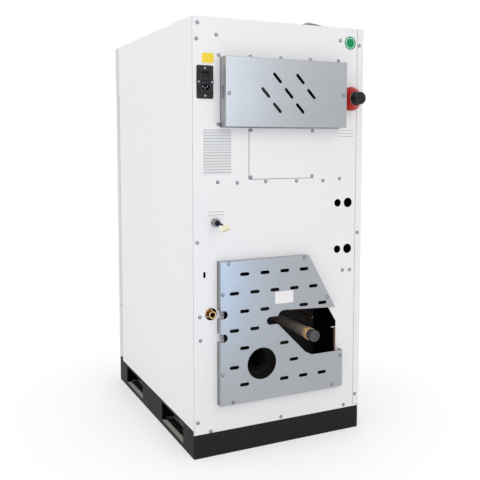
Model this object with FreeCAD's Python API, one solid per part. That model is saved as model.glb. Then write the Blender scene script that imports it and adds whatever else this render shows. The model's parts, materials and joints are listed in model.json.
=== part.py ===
"""Pellet boiler: welded water jacket, feed auger and exhaust fan in a sheet-steel casing on a plinth.

Millimetres, +Z up. The front with the doors faces -Y and the rear with the connections faces +Y.
The origin is on the floor under the middle of the casing.
"""
import FreeCAD
import Part
import math
import os

V = FreeCAD.Vector

# Casing
CASE_WIDTH = 570.0
CASE_DEPTH = 780.0
CASE_HEIGHT = 1265.0
SHEET = 1.2
SEAM = 0.3
SIDE_OVERLAP = 5.0
REAR_OVERLAP = 18.0
FLANGE_FOOT = 5.5
SEAM_REACH = 8.5
REAR_FLANGE = 22.0
TOP_SKIRT = 15.0
POST_WIDTH = 20.0
FRAME_SHEET = 2.0
CROSS_BAR = 25.0

# Plinth
PLINTH_HEIGHT = 90.0
PLINTH_SHEET = 3.0
PLINTH_FLANGE = 30.0
FORK_WIDTH = 195.0
FORK_HEADER = 14.0
FORK_SILL = 14.0
FORK_SPACING = 400.0
FORK_FLAP = 40.0
SLEEPER_WIDTH = 100.0

# Front
FRONT_THICKNESS = 38.0
FRONT_SHEET = 1.5
FRONT_GAP = 7.0
FRONT_INSET = 1.0
DRAWER_GAP = 5.0
DRAWER_FRONT_HEIGHT = 201.0
DOOR_GAP = 4.0
FASCIA_HEIGHT = 178.0
PIVOT_RADIUS = 4.0
PIVOT_DEPTH = 12.0
PIVOT_INSET = 10.0
LEAF_GAP = 0.7
LINER_INSET = 0.7
RUNNING_FIT = 0.05
LATCH_RISE = 50.0
LATCH_INSET = 22.0
SPINDLE_RADIUS = 6.0
CAM_LENGTH = 30.0
CAM_WIDTH = 10.0
CAM_THICKNESS = 5.5
CAM_CLEARANCE = 3.0
CAM_GAP = 1.5
LEVER_LENGTH = 120.0
LEVER_WIDTH = 24.0
LEVER_THICKNESS = 12.0
LEVER_PROUD = 30.0
HANDLE_BOSS_RADIUS = 20.0
HANDLE_BOSS_LENGTH = 12.0
HANDLE_BEVEL = 2.0
HANDLE_NECK = 3.0
PULL_WIDTH = 120.0
PULL_DROP = 30.0
PULL_REACH = 22.0
PULL_LIP = 18.0
PULL_SHEET = 2.0
SEAL_WIDTH = 12.0
PLUG_CLEARANCE = 7.0
PLUG_THICKNESS = 20.5

# Control panel
WINDOW_WIDTH = 120.0
WINDOW_HEIGHT = 56.0
WINDOW_LIP = 6.0
WINDOW_RISE = 25.0
BUTTON_RADIUS = 7.0
BUTTON_PITCH = 60.0
BUTTON_DROP = 43.0
BUTTON_PROUD = 2.5
BUTTON_COLLAR = 2.0

# Water jacket, furnace and ash bay
REAR_ZONE = 240.0
SIDE_ZONE = 25.0
HEAD_ZONE = 435.0
JACKET_WALL = 5.0
LINER_WALL = 4.0
BAY_WATER = 60.0
BAY_HEADER = 15.0
BAY_REAR_WATER = 93.0
RUNNER_HEIGHT = 5.0
RUNNER_WIDTH = 20.0
FIREBOX_WATER = 95.0
FIREBOX_REAR_WATER = 210.0
FIREBOX_RISE = 49.0
CROWN_DEPTH = 74.0
ASH_SLOT_EDGE = 35.0
ASH_SLOT_DEPTH = 80.0
ASH_SLOT_INSET = 25.0
LEDGE_WIDTH = 15.0
BAFFLE_DROP = 116.0
BAFFLE_THICKNESS = 20.0
BAFFLE_EDGE = 2.0
INSULATION = 20.0
INSULATION_BAND_RISE = 355.0
INSULATION_BAND_DROP = 90.0
DRAWER_PLAY = 10.0
DRAWER_HEIGHT = 140.0

# Burner
CHUTE_SIZE = 80.0
CHUTE_WALL = 2.0
CHUTE_SETBACK = 198.0
CHUTE_DROP = 230.0
CHUTE_FLANGE = 20.0
BASE_WIDTH = 160.0
BASE_DEPTH = 140.0
BASE_HEIGHT = 65.0
POT_WIDTH = 100.0
POT_DEPTH = 90.0
POT_HEIGHT = 80.0
POT_WALL = 5.0
POT_PROUD = 35.0
POT_FLANGE = 8.0
POT_HOLE_RADIUS = 3.5
POT_HOLE_PITCH = 22.0
POT_HOLE_COLUMNS = 4
POT_HOLE_ROWS = 3
IGNITER_RADIUS = 5.0
IGNITER_GAP = 2.0
IGNITER_HEAD = 4.0

# Hopper and feed auger
HOPPER_WALL = 1.5
HOPPER_REAR_SPACE = 90.0
HOPPER_LENGTH = 255.0
HOPPER_SIDE_SPACE = 29.0
HOPPER_FAR_SPACE = 135.0
HOPPER_COLLAR = 83.0
HOPPER_SLOPE = 80.0
HOPPER_COLLAR_SPACE = 17.0
AUGER_RISE = 51.0
TUBE_RADIUS = 44.0
TUBE_WALL = 2.0
TROUGH_RISE = 14.0
TROUGH_FLANGE = 16.0
FUNNEL_RISE = 219.0
FLIGHT_RADIUS = 39.0
FLIGHT_PITCH = 88.0
FLIGHT_THICKNESS = 3.0
FLIGHT_STEPS = 12
FLIGHT_ROOT = 1.0
AUGER_SHAFT_RADIUS = 9.0
AUGER_NOSE_RADIUS = 6.0
AUGER_NOSE = 6.0
GEARBOX_WIDTH = 76.0
GEARBOX_HEIGHT = 92.0
GEARBOX_DEPTH = 38.0
GEARBOX_SOCKET = 16.0
GEARBOX_CORNER = 8.0
WINDING_CORNER = 4.0
MOTOR_WIDTH = 60.0
MOTOR_HEIGHT = 65.0
MOTOR_DEPTH = 34.0

# Hopper lid
MOUTH_WIDTH = 186.0
MOUTH_LENGTH = 306.0
MOUTH_SIDE = 33.0
MOUTH_REAR = 22.0
LID_OVERLAP = 12.0
LID_RIM = 8.0
LID_RIM_GAP = 3.0
LID_CORNER = 6.0
GRIP_SETBACK = 2.0
GRIP_LENGTH = 100.0
GRIP_INSET = 28.0
GRIP_RUN = 57.0
GRIP_RISE = 11.0
GRIP_FOOT = 29.0
HINGE_RADIUS = 3.5
HINGE_GAP = 1.0
HINGE_PIN_RADIUS = 1.75
HINGE_LENGTH = 40.0
HINGE_SPACING = 190.0
KNUCKLE_LENGTH = 18.0

# Rear: upper cover and inspection plate
UPPER_SIDE = 85.0
UPPER_HEIGHT = 195.0
UPPER_DEPTH = 40.0
UPPER_DROP = 109.0
COVER_SHEET = 1.0
BEND = 0.9
SLANT_LENGTH = 38.0
SLANT_WIDTH = 9.0
SLANT_PITCH = 75.5
SLANT_ROW = 42.5
SLANT_ANGLE = 47.0
SIDE_SLOT_HEIGHT = 36.0
SIDE_SLOT_WIDTH = 5.0
UPPER_VENT_SIDE = 50.0
UPPER_VENT_HEIGHT = 140.0
SPACER_RADIUS = 4.0
SPACER_INSET = 10.0
PLATE_WIDTH = 217.0
PLATE_HEIGHT = 146.0
PLATE_MARGIN = 14.0
PLATE_RISE = 3.0

# Rear: lower cover
LOWER_LEFT_SIDE = 75.7
LOWER_RIGHT_SIDE = 77.3
LOWER_BASE = 62.8
LOWER_HEIGHT = 424.5
LOWER_DEPTH = 21.0
LOWER_TOP_CORNER = 84.0
LOWER_CHAMFER_DROP = 218.7
NOTCH_TOP = 253.5
NOTCH_PEAK = 266.4
NOTCH_FLOOR = 116.3
NOTCH_SIDE = 186.4
NOTCH_FOOT = 96.4
NOTCH_RADIUS = 22.0
KEYHOLE_RADIUS = 12.0
KEYHOLE_SIDE = 149.6
KEYHOLE_RISE = 237.1
VENT_LENGTH = 30.0
VENT_WIDTH = 10.2
VENT_PITCH = 66.2
VENT_ROW = 54.7
VENT_ROWS = 7
VENT_COLUMNS = 5
VENT_SIDE = 76.8
VENT_TOP_DROP = 40.3
VENT_CLEAR = 22.0
EDGE_NOTCH_DEPTH = 22.4
EDGE_NOTCH_HEIGHT = 24.0
EDGE_NOTCH_LOW = 201.3
EDGE_NOTCH_HIGH = 269.9
OPENING_MARGIN = 20.0
OPENING_RIGHT_MARGIN = 12.7

# Exhaust fan and flue
FLUE_SIDE = 209.4
FLUE_RISE = 174.7
FLUE_HOLE_RADIUS = 47.6
FLUE_BORE_RADIUS = 40.3
FLUE_WALL = 1.5
FLUE_RECESS = 18.0
SPIGOT_LENGTH = 34.0
FAN_WIDTH = 86.0
FAN_WALL = 2.0
FAN_SETBACK = 145.0
FAN_RADIUS = 62.0
SCROLL_START = 70.0
SCROLL_GROWTH = 6.0
BLADE_COUNT = 10
BLADE_THICKNESS = 2.0
BLADE_INNER = 26.0
BLADE_SAG = 5.0
BLADE_LEAN = 30.0
WHEEL_WIDTH = 46.0
WHEEL_GAP = 6.0
FAN_SHAFT_RADIUS = 5.0
FAN_SHAFT_TAIL = 12.0
FAN_INLET_RADIUS = 38.0
FAN_MOTOR_RADIUS = 42.0
FAN_MOTOR_LENGTH = 70.0
FAN_MOTOR_NECK = 14.0
FAN_MOTOR_BEVEL = 4.0
FLUE_BOX_WIDTH = 90.0
FLUE_BOX_HEIGHT = 180.0
FLUE_BOX_DEPTH = 176.0
FLUE_BOX_DROP = 20.0

# Water connections
PIPE_SIDE = 376.0
PIPE_RISE = 243.0
PIPE_RADIUS = 16.85
PIPE_BORE = 13.6
PIPE_END = 2.0
RING_LENGTH = 19.0
RING_RADIUS = 18.6
RING_BEVEL = 1.0
CAP_LENGTH = 26.0
CAP_RADIUS = 17.2
CAP_DISH = 4.0
CAP_RIM = 4.0
CAP_BEVEL = 1.0
NIPPLE_INSET = 55.0
NIPPLE_RISE = 334.5
NIPPLE_RADIUS = 10.6
NIPPLE_BORE = 8.0
NIPPLE_PROUD = 12.0
NIPPLE_HOLE_RADIUS = 18.0
NIPPLE_HEX = 13.5
NIPPLE_HEX_LENGTH = 16.0
NIPPLE_HEX_DEPTH = 26.0
PROBE_OFFSET = 74.0
PROBE_RISE = 262.0
PROBE_HEX = 11.0
PROBE_NUT = 14.0
PROBE_RADIUS = 3.5
PROBE_LENGTH = 150.0

# Safety valve
VALVE_INSET = 45.0
VALVE_DROP = 214.0
VALVE_RADIUS = 17.0
VALVE_LENGTH = 66.0
VALVE_HOLE_RADIUS = 20.0
VALVE_SOCKET = 14.0
VALVE_SOCKET_WALL = 4.0
RELIEF_RADIUS = 11.0
ELBOW_WALL = 3.0
RELIEF_TAPPING = 69.0
BONNET_RADIUS = 36.0
BONNET_SKIRT = 9.0
BONNET_LENGTH = 29.0
BONNET_NECK = 22.5
FLUTE_COUNT = 10
FLUTE_RADIUS = 7.0
COLLAR_RADIUS = 21.0
COLLAR_LENGTH = 2.0
KNOB_RADIUS = 18.7
KNOB_LENGTH = 24.0
KNOB_BEVEL = 2.0
STEM_RADIUS = 6.0
STEM_LENGTH = 14.0

# Power inlet
INLET_INSET = 38.5
INLET_DROP = 180.0
INLET_PLATE_WIDTH = 50.0
INLET_PLATE_HEIGHT = 92.0
INLET_PLATE_THICKNESS = 2.0
INLET_CORNER = 4.0
MODULE_WIDTH = 28.0
MODULE_HEIGHT = 58.0
MODULE_DEPTH = 42.0
MODULE_FLANGE = 3.0
MODULE_LIP = 1.0
MODULE_EAR_WIDTH = 49.0
MODULE_WAIST = 6.0
SOCKET_WIDTH = 24.0
SOCKET_HEIGHT = 16.5
SOCKET_DEPTH = 16.0
SOCKET_DROP = 14.5
SOCKET_CHAMFER = 5.0
BLADE_WIDTH = 2.0
BLADE_HEIGHT = 4.0
BLADE_LENGTH = 13.0
BLADE_SPREAD = 14.0
EARTH_DROP = 4.0
ROCKER_RISE = 15.5
ROCKER_WIDTH = 22.0
ROCKER_HEIGHT = 21.0
ROCKER_PROUD = 9.0
ROCKER_DISH = 2.0
ROCKER_BARREL = 11.5
ROCKER_TILT = 10.0
ROCKER_GAP = 0.5
ROCKER_PIN_RADIUS = 1.5
ROCKER_PIN = 1.2

# Cable gland, lead and connector
GLAND_INSET = 68.0
GLAND_RISE = 599.0
GLAND_RADIUS = 13.2
GLAND_FLANGE = 6.0
GLAND_DOME_RADIUS = 10.5
GLAND_LENGTH = 18.0
GLAND_SHOULDER = 1.0
GLAND_BEVEL = 2.0
GLAND_TAIL = 14.0
GLAND_SEAL_RADIUS = 8.2
GLAND_SEAL = 8.0
LEAD_RADIUS = 2.6
LEAD_STEPS = [(0.0, 14.0, 0.0), (-0.5, 23.5, -0.6), (-1.5, 31.0, -5.5)]
CONNECTOR_LENGTH = 17.0
CONNECTOR_WIDTH = 27.0
CONNECTOR_THICKNESS = 12.0
CONNECTOR_RIBS = 5
CONNECTOR_RIB = 1.5
CONNECTOR_CORNER = 1.5
CONNECTOR_POCKET = 5.0
CONNECTOR_ROLL = 24.0

# Rear panel holes, measured from the side edges and the plinth top
HOLE_INNER_INSET = 87.5
HOLE_OUTER_INSET = 50.0
HOLE_INNER_RADIUS = 12.0
HOLE_OUTER_RADIUS = 15.0
HOLE_RISES = (640.5, 495.5)
KEY_SLOT_INSET = 35.0
KEY_SLOT_RISE = 450.0
KEY_SLOT_LENGTH = 18.0
KEY_SLOT_WIDTH = 7.5

# Control board
BOARD_LENGTH = 180.0
BOARD_HEIGHT = 170.0
BOARD_THICKNESS = 1.6
BOARD_STANDOFF = 22.0
BOARD_DROP = 120.0
BOARD_SETBACK = 95.0
BOARD_EDGE = 10.0
TRANSFORMER_LENGTH = 50.0
TRANSFORMER_HEIGHT = 45.0
TRANSFORMER_DEPTH = 34.0
RELAY_COUNT = 4
RELAY_PITCH = 21.0
RELAY_LENGTH = 16.0
RELAY_HEIGHT = 28.0
CAPACITOR_RADIUS = 6.0
CAPACITOR_LENGTH = 20.0
CAPACITOR_RISE = 85.0
TERMINAL_HEIGHT = 14.0
TERMINAL_DEPTH = 12.0
TERMINAL_DROP = 8.0
CHIP_SIZE = 22.0
CHIP_DEPTH = 3.0
CHIP_RISE = 90.0

# Places worked out from the sizes above
HALF = CASE_WIDTH / 2
REAR = CASE_DEPTH / 2
FRONT = -REAR
TOP = CASE_HEIGHT
DECK = PLINTH_HEIGHT
INNER_HALF = HALF - SHEET
PANEL_BACK = REAR - SHEET
INNER_REAR = PANEL_BACK
PANEL_TOP = TOP - SHEET
DOOR_BACK = FRONT + FRONT_THICKNESS
FRAME_FACE = DOOR_BACK + FRONT_GAP
FRAME_BACK = FRAME_FACE + FRAME_SHEET
LINER_BACK = DOOR_BACK + FRONT_SHEET
DRAWER_LOW = DECK + DRAWER_GAP
DRAWER_TOP = DRAWER_LOW + DRAWER_FRONT_HEIGHT
DOOR_LOW = DRAWER_TOP + DOOR_GAP
FASCIA_LOW = TOP - FASCIA_HEIGHT
DOOR_TOP = FASCIA_LOW - DOOR_GAP
PIVOT_X = HALF - FRONT_INSET - PIVOT_INSET
PIVOT_Y = DOOR_BACK - PIVOT_INSET
JACKET_HALF = HALF - SIDE_ZONE
JACKET_REAR = REAR - REAR_ZONE
JACKET_TOP = TOP - HEAD_ZONE
LATCH_X = -(HALF - LATCH_INSET)
LATCH_Z = JACKET_TOP + LATCH_RISE
BAY_WIDTH = 2 * (JACKET_HALF - BAY_WATER)
BAY_DEPTH = JACKET_REAR - FRAME_BACK - BAY_REAR_WATER
BAY_LOW = DECK + JACKET_WALL + LINER_WALL
BAY_TOP = DRAWER_TOP - BAY_HEADER
DRAWER_WIDTH = BAY_WIDTH - 2 * DRAWER_PLAY
DRAWER_DEPTH = BAY_DEPTH - DRAWER_PLAY
FIREBOX_WIDTH = 2 * (JACKET_HALF - FIREBOX_WATER)
FIREBOX_LOW = BAY_TOP + FIREBOX_RISE
FIREBOX_TOP = JACKET_TOP - CROWN_DEPTH
FIREBOX_REAR = JACKET_REAR - FIREBOX_REAR_WATER
BAFFLE_LOW = FIREBOX_TOP - BAFFLE_DROP
CHUTE_Y = FRAME_BACK + CHUTE_SETBACK
CHUTE_LOW = JACKET_TOP - CHUTE_DROP
AUGER_Z = JACKET_TOP + AUGER_RISE
TROUGH_Z = AUGER_Z + TROUGH_RISE
HOPPER_REAR = REAR - HOPPER_REAR_SPACE
HOPPER_FRONT = HOPPER_REAR - HOPPER_LENGTH
HOPPER_LEFT = HALF - HOPPER_FAR_SPACE
HOPPER_RIGHT = -(HALF - HOPPER_SIDE_SPACE)
TUBE_REAR = HOPPER_REAR + PLINTH_SHEET
MOUTH_X0 = -(HALF - MOUTH_SIDE)
MOUTH_X1 = MOUTH_X0 + MOUTH_WIDTH
MOUTH_Y1 = REAR - MOUTH_REAR
MOUTH_Y0 = MOUTH_Y1 - MOUTH_LENGTH
HINGE_X = MOUTH_X0 - LID_OVERLAP - HINGE_RADIUS - HINGE_GAP
HINGE_Z = TOP + HINGE_RADIUS + SEAM
UPPER_WIDTH = CASE_WIDTH - 2 * UPPER_SIDE
UPPER_TOP = TOP - UPPER_DROP
UPPER_Z = UPPER_TOP - UPPER_HEIGHT / 2
PLATE_Z = AUGER_Z + PLATE_RISE
LOWER_LEFT = HALF - LOWER_LEFT_SIDE
LOWER_RIGHT = HALF - LOWER_RIGHT_SIDE
LOWER_TOP_WIDTH = LOWER_LEFT + LOWER_TOP_CORNER
LOWER_Z = DECK + LOWER_BASE
LOWER_TOP = LOWER_Z + LOWER_HEIGHT
NOTCH_REACH = LOWER_LEFT - NOTCH_SIDE
KEYHOLE_REACH = LOWER_LEFT - KEYHOLE_SIDE
VENT_FIRST = LOWER_LEFT - VENT_SIDE
FLUE_X = HALF - FLUE_SIDE
FLUE_Z = DECK + FLUE_RISE
FAN_Y = REAR - FAN_SETBACK
FAN_Z = FLUE_Z - FLUE_BORE_RADIUS + SCROLL_START + 2 * SCROLL_GROWTH
FAN_X0 = FLUE_X - FAN_WIDTH / 2
FAN_X1 = FLUE_X + FAN_WIDTH / 2
SPIGOT_END = REAR - FLUE_RECESS
PIPE_X = HALF - PIPE_SIDE
PIPE_Z = DECK + PIPE_RISE
PROBE_X = PIPE_X - PROBE_OFFSET
NIPPLE_X = HALF - NIPPLE_INSET
NIPPLE_Z = DECK + NIPPLE_RISE
VALVE_X = -(HALF - VALVE_INSET)
VALVE_Z = TOP - VALVE_DROP
RELIEF_Z = JACKET_TOP - RELIEF_TAPPING
BONNET_FRONT = REAR + BONNET_LENGTH
KNOB_BACK = BONNET_FRONT + COLLAR_LENGTH + SEAM
INLET_X = HALF - INLET_INSET
INLET_Z = TOP - INLET_DROP
INLET_FACE = REAR + INLET_PLATE_THICKNESS
MODULE_FACE = INLET_FACE + MODULE_FLANGE
ROCKER_Y = MODULE_FACE - ROCKER_PROUD + ROCKER_DISH
ROCKER_Z = INLET_Z + ROCKER_RISE
SOCKET_Z = INLET_Z - SOCKET_DROP
SOCKET_FLOOR = MODULE_FACE - SOCKET_DEPTH
GLAND_X = HALF - GLAND_INSET
GLAND_Z = DECK + GLAND_RISE
LEAD_START = REAR + GLAND_LENGTH + GLAND_SEAL


def box(x, y, z):
    """Box between the two values of each pair."""
    return Part.makeBox(x[1] - x[0], y[1] - y[0], z[1] - z[0], V(x[0], y[0], z[0]))


def around(middle, width):
    """Pair of values half a width either side of a middle."""
    return (middle - width / 2, middle + width / 2)


def rod_x(y, z, radius, x):
    """Cylinder along X."""
    return Part.makeCylinder(radius, x[1] - x[0], V(x[0], y, z), V(1, 0, 0))


def rod_y(x, z, radius, y):
    """Cylinder along Y."""
    return Part.makeCylinder(radius, y[1] - y[0], V(x, y[0], z), V(0, 1, 0))


def rod_z(x, y, radius, z):
    """Cylinder along Z."""
    return Part.makeCylinder(radius, z[1] - z[0], V(x, y, z[0]), V(0, 0, 1))


def slab_y(points, y):
    """Polygon of (x, z) corners drawn out along Y."""
    corners = [V(x, y[0], z) for x, z in points]
    face = Part.Face(Part.makePolygon(corners + corners[:1]))
    return face.extrude(V(0, y[1] - y[0], 0))


def slab_x(points, x):
    """Polygon of (y, z) corners drawn out along X."""
    corners = [V(x[0], py, pz) for py, pz in points]
    face = Part.Face(Part.makePolygon(corners + corners[:1]))
    return face.extrude(V(x[1] - x[0], 0, 0))


def hexagon_y(x, z, radius, y):
    """Hexagonal bar along Y."""
    turns = [math.radians(60 * i) for i in range(6)]
    return slab_y([(x + radius * math.cos(t), z + radius * math.sin(t)) for t in turns], y)


def obround_y(x, z, length, width, angle, y):
    """Slot with round ends, cut along Y and turned by angle degrees in the XZ plane."""
    half = (length - width) / 2
    end = width / 2
    top = [V(-half, 0, end), V(half, 0, end)]
    low = [V(half, 0, -end), V(-half, 0, -end)]
    edges = [
        Part.LineSegment(top[0], top[1]).toShape(),
        Part.Arc(top[1], V(half + end, 0, 0), low[0]).toShape(),
        Part.LineSegment(low[0], low[1]).toShape(),
        Part.Arc(low[1], V(-half - end, 0, 0), top[0]).toShape(),
    ]
    slot = Part.Face(Part.Wire(edges)).extrude(V(0, y[1] - y[0], 0))
    slot.rotate(V(0, 0, 0), V(0, -1, 0), angle)
    slot.translate(V(x, y[0], z))
    return slot


def lathe_y(profile, x, z):
    """Turned piece about an axis along Y, from (radius, y) corners that start and end on the axis."""
    corners = [V(x + r, y, z) for r, y in profile]
    face = Part.Face(Part.makePolygon(corners + corners[:1]))
    return face.revolve(V(x, 0, z), V(0, 1, 0), 360)


def flat_sided(rings):
    """Solid with flat sides through rings of four corners each, from the top ring to the bottom one."""
    panels = [rings[0], rings[-1]]
    for upper, lower in zip(rings, rings[1:]):
        for i in range(4):
            j = (i + 1) % 4
            panels.append([upper[i], upper[j], lower[j], lower[i]])
    faces = [Part.Face(Part.makePolygon(panel + panel[:1])) for panel in panels]
    solid = Part.makeSolid(Part.makeShell(faces))
    if solid.Volume < 0:
        solid.reverse()
    return solid.removeSplitter()


def bevelled(shape, size, chosen):
    """Chamfer of the edges that the test chosen(edge) picks."""
    return shape.makeChamfer(size, [e for e in shape.Edges if chosen(e)])


def rounded(shape, radius, chosen):
    """Fillet of the edges that the test chosen(edge) picks."""
    return shape.makeFillet(radius, [e for e in shape.Edges if chosen(e)])


def along(axis):
    """Test for straight edges that run along X, Y or Z."""
    def runs(edge):
        ends = [v.Point for v in edge.Vertexes]
        if len(ends) != 2:
            return False
        step = ends[1] - ends[0]
        return abs(getattr(step, axis)) > 0.999 * step.Length
    return runs


def join(*shapes):
    """One solid from pieces that overlap or touch."""
    whole = shapes[0].fuse(list(shapes[1:])).removeSplitter()
    return whole.Solids[0] if len(whole.Solids) == 1 else whole


def less(shape, *tools):
    """Shape with tools cut out of it."""
    rest = shape.cut(list(tools))
    return rest.Solids[0] if len(rest.Solids) == 1 else rest


def parted(shape, rooms):
    """The solids that a welded or butted piece is made of, one or more in each room."""
    solids = []
    for room in rooms:
        solids += shape.common(room).Solids
    return Part.makeCompound(solids)


def plinth():
    """Folded base: deck, four flanged rails, sleeper and fork openings with folded-in flaps."""
    wide = (-INNER_HALF, INNER_HALF)
    deep = (-INNER_REAR, INNER_REAR)
    room_x = (wide[0] + PLINTH_SHEET, wide[1] - PLINTH_SHEET)
    room_y = (deep[0] + PLINTH_SHEET, deep[1] - PLINTH_SHEET)
    body = rounded(box(wide, deep, (0, DECK)), PLINTH_SHEET, along("z"))
    body = less(body, box(room_x, room_y, (PLINTH_SHEET, DECK - PLINTH_SHEET)))
    floor_x = (wide[0] + PLINTH_FLANGE, wide[1] - PLINTH_FLANGE)
    floor_y = (deep[0] + PLINTH_FLANGE, deep[1] - PLINTH_FLANGE)
    body = less(body, box(floor_x, floor_y, (0, PLINTH_SHEET)))
    sleeper_y = around(0, SLEEPER_WIDTH)
    sleeper = box(room_x, sleeper_y, (0, DECK - PLINTH_SHEET))
    channel = (sleeper_y[0] + PLINTH_SHEET, sleeper_y[1] - PLINTH_SHEET)
    sleeper = less(sleeper, box(room_x, channel, (PLINTH_SHEET, DECK - PLINTH_SHEET)))
    body = join(body, sleeper)
    flaps = []
    for y in (-FORK_SPACING / 2, FORK_SPACING / 2):
        fork_y = around(y, FORK_WIDTH)
        body = less(body, box((-HALF, HALF), fork_y, (FORK_SILL, DECK - FORK_HEADER)))
        flap_z = (FORK_SILL - PLINTH_SHEET, FORK_SILL)
        flaps.append(box((wide[0], wide[0] + FORK_FLAP), fork_y, flap_z))
        flaps.append(box((wide[1] - FORK_FLAP, wide[1]), fork_y, flap_z))
    under = (0, DECK - PLINTH_SHEET)
    rail = INNER_HALF - max(PLINTH_FLANGE, FORK_FLAP)
    rooms = [box(wide, deep, (DECK - PLINTH_SHEET, DECK)), box((-rail, rail), floor_y, under)]
    rooms += [box(wide, (deep[0], floor_y[0]), under), box(wide, (floor_y[1], deep[1]), under)]
    rooms += [box((wide[0], -rail), floor_y, under), box((rail, wide[1]), floor_y, under)]
    return parted(join(body, *flaps), rooms)


def rear_frame():
    """Two angle posts joined by a cross bar under the top panel's skirt."""
    top = PANEL_TOP - TOP_SKIRT
    face = (INNER_REAR - FRAME_SHEET, INNER_REAR)
    pieces = []
    for side in (-1, 1):
        outer = side * INNER_HALF
        inner = side * (INNER_HALF - POST_WIDTH)
        web = side * (INNER_HALF - FRAME_SHEET)
        pieces.append(box(sorted((outer, inner)), face, (DECK, top)))
        pieces.append(box(sorted((outer, web)), (INNER_REAR - POST_WIDTH, INNER_REAR), (DECK, top)))
    pieces.append(box((-INNER_HALF, INNER_HALF), face, (top - CROSS_BAR, top)))
    return join(*pieces)


def front_frame():
    """Face frame with the firebox, drawer and latch openings."""
    plate = box((-INNER_HALF, INNER_HALF), (FRAME_FACE, FRAME_BACK), (DECK, PANEL_TOP))
    through = (FRAME_FACE, FRAME_BACK)
    fire = box(around(0, FIREBOX_WIDTH), through, (FIREBOX_LOW, FIREBOX_TOP))
    bay = box(around(0, BAY_WIDTH), through, (BAY_LOW, BAY_TOP))
    slot_x = around(LATCH_X, CAM_WIDTH + 2 * CAM_CLEARANCE)
    slot_z = around(LATCH_Z, CAM_LENGTH + 2 * CAM_CLEARANCE)
    return less(plate, fire, bay, box(slot_x, through, slot_z))


def side_panel_left():
    """Flat side sheet that stops behind the rear panel's edge."""
    return box((HALF - SHEET, HALF), (FRAME_FACE + SEAM, INNER_REAR), (DECK - SIDE_OVERLAP, PANEL_TOP))


def side_panel_right():
    """Side sheet with a return flange that shows on the rear."""
    tall = (DECK - SIDE_OVERLAP, PANEL_TOP)
    sheet = box((-HALF, SHEET - HALF), (FRAME_FACE + SEAM, REAR), tall)
    low = DECK - REAR_OVERLAP + FLANGE_FOOT
    flange = box((-HALF, REAR_FLANGE - HALF), (PANEL_BACK, REAR), (low, PANEL_TOP))
    return join(sheet, flange)


def top_panel():
    """Top sheet with skirts on three sides and the mouth for pellets."""
    sheet = box((-HALF, HALF), (FRAME_FACE, REAR), (TOP - SHEET, TOP))
    skirt_z = (PANEL_TOP - TOP_SKIRT, TOP)
    skirt_y = (FRAME_BACK, INNER_REAR)
    left = box((INNER_HALF - SHEET, INNER_HALF), skirt_y, skirt_z)
    right = box((-INNER_HALF, SHEET - INNER_HALF), skirt_y, skirt_z)
    rear = box((-INNER_HALF, INNER_HALF), (INNER_REAR - SHEET, INNER_REAR), skirt_z)
    mouth = box((MOUTH_X0, MOUTH_X1), (MOUTH_Y0, MOUTH_Y1), (TOP - SHEET, TOP))
    return less(join(sheet, left, right, rear), mouth)


def lower_opening():
    """Corners of the rear panel's opening behind the lower cover."""
    left = LOWER_LEFT - OPENING_MARGIN
    right = -(LOWER_RIGHT - OPENING_RIGHT_MARGIN)
    low = LOWER_Z + OPENING_MARGIN
    high = LOWER_TOP - OPENING_MARGIN
    run = LOWER_LEFT + LOWER_RIGHT - LOWER_TOP_WIDTH
    knee = LOWER_TOP - LOWER_CHAMFER_DROP
    slope = LOWER_CHAMFER_DROP / run
    top_x = LOWER_LEFT - LOWER_TOP_WIDTH + OPENING_MARGIN / slope
    return [(left, low), (left, high), (top_x, high), (right, knee), (right, low)]


def rear_seams():
    """Heights at which the rear sheets butt, from the plinth to the top panel."""
    low = LOWER_Z + OPENING_MARGIN
    knee = LOWER_TOP - LOWER_CHAMFER_DROP
    high = LOWER_TOP - OPENING_MARGIN
    screws = PLATE_Z - PLATE_HEIGHT / 2 - SEAM_REACH
    cover = UPPER_TOP - UPPER_HEIGHT
    return [DECK - REAR_OVERLAP, low, knee, high, screws, cover, UPPER_TOP + SEAM_REACH, PANEL_TOP]


def rear_panel():
    """Rear sheets with their openings, butted on the frame's posts."""
    wide = (REAR_FLANGE + SEAM - HALF, HALF)
    through = (PANEL_BACK, REAR)
    vent = box(around(0, UPPER_WIDTH - 2 * UPPER_VENT_SIDE), through, around(UPPER_Z, UPPER_VENT_HEIGHT))
    hatch_x = around(0, PLATE_WIDTH - 2 * PLATE_MARGIN)
    hatch = box(hatch_x, through, around(PLATE_Z, PLATE_HEIGHT - 2 * PLATE_MARGIN))
    inlet_x = around(INLET_X, MODULE_WIDTH + 2 * SEAM)
    inlet = box(inlet_x, through, around(INLET_Z, MODULE_HEIGHT + 2 * SEAM))
    valve = rod_y(VALVE_X, VALVE_Z, VALVE_HOLE_RADIUS, through)
    gland = rod_y(GLAND_X, GLAND_Z, GLAND_DOME_RADIUS, through)
    nipple = rod_y(NIPPLE_X, NIPPLE_Z, NIPPLE_HOLE_RADIUS, through)
    slot_x = HALF - KEY_SLOT_INSET
    slot = obround_y(slot_x, DECK + KEY_SLOT_RISE, KEY_SLOT_LENGTH, KEY_SLOT_WIDTH, 90, through)
    holes = [vent, hatch, inlet, valve, gland, nipple, slot, slab_y(lower_opening(), through)]
    for rise in HOLE_RISES:
        holes.append(rod_y(HOLE_INNER_INSET - HALF, DECK + rise, HOLE_INNER_RADIUS, through))
        holes.append(rod_y(HOLE_OUTER_INSET - HALF, DECK + rise, HOLE_OUTER_RADIUS, through))
    seams = rear_seams()
    sheet = box(wide, through, (seams[0], seams[-1]))
    foot = box((-HALF, wide[0]), through, (seams[0], seams[0] + FLANGE_FOOT - SEAM))
    sheet = less(join(sheet, foot), *holes)
    return parted(sheet, [box((-HALF, HALF), through, span) for span in zip(seams, seams[1:])])


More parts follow.
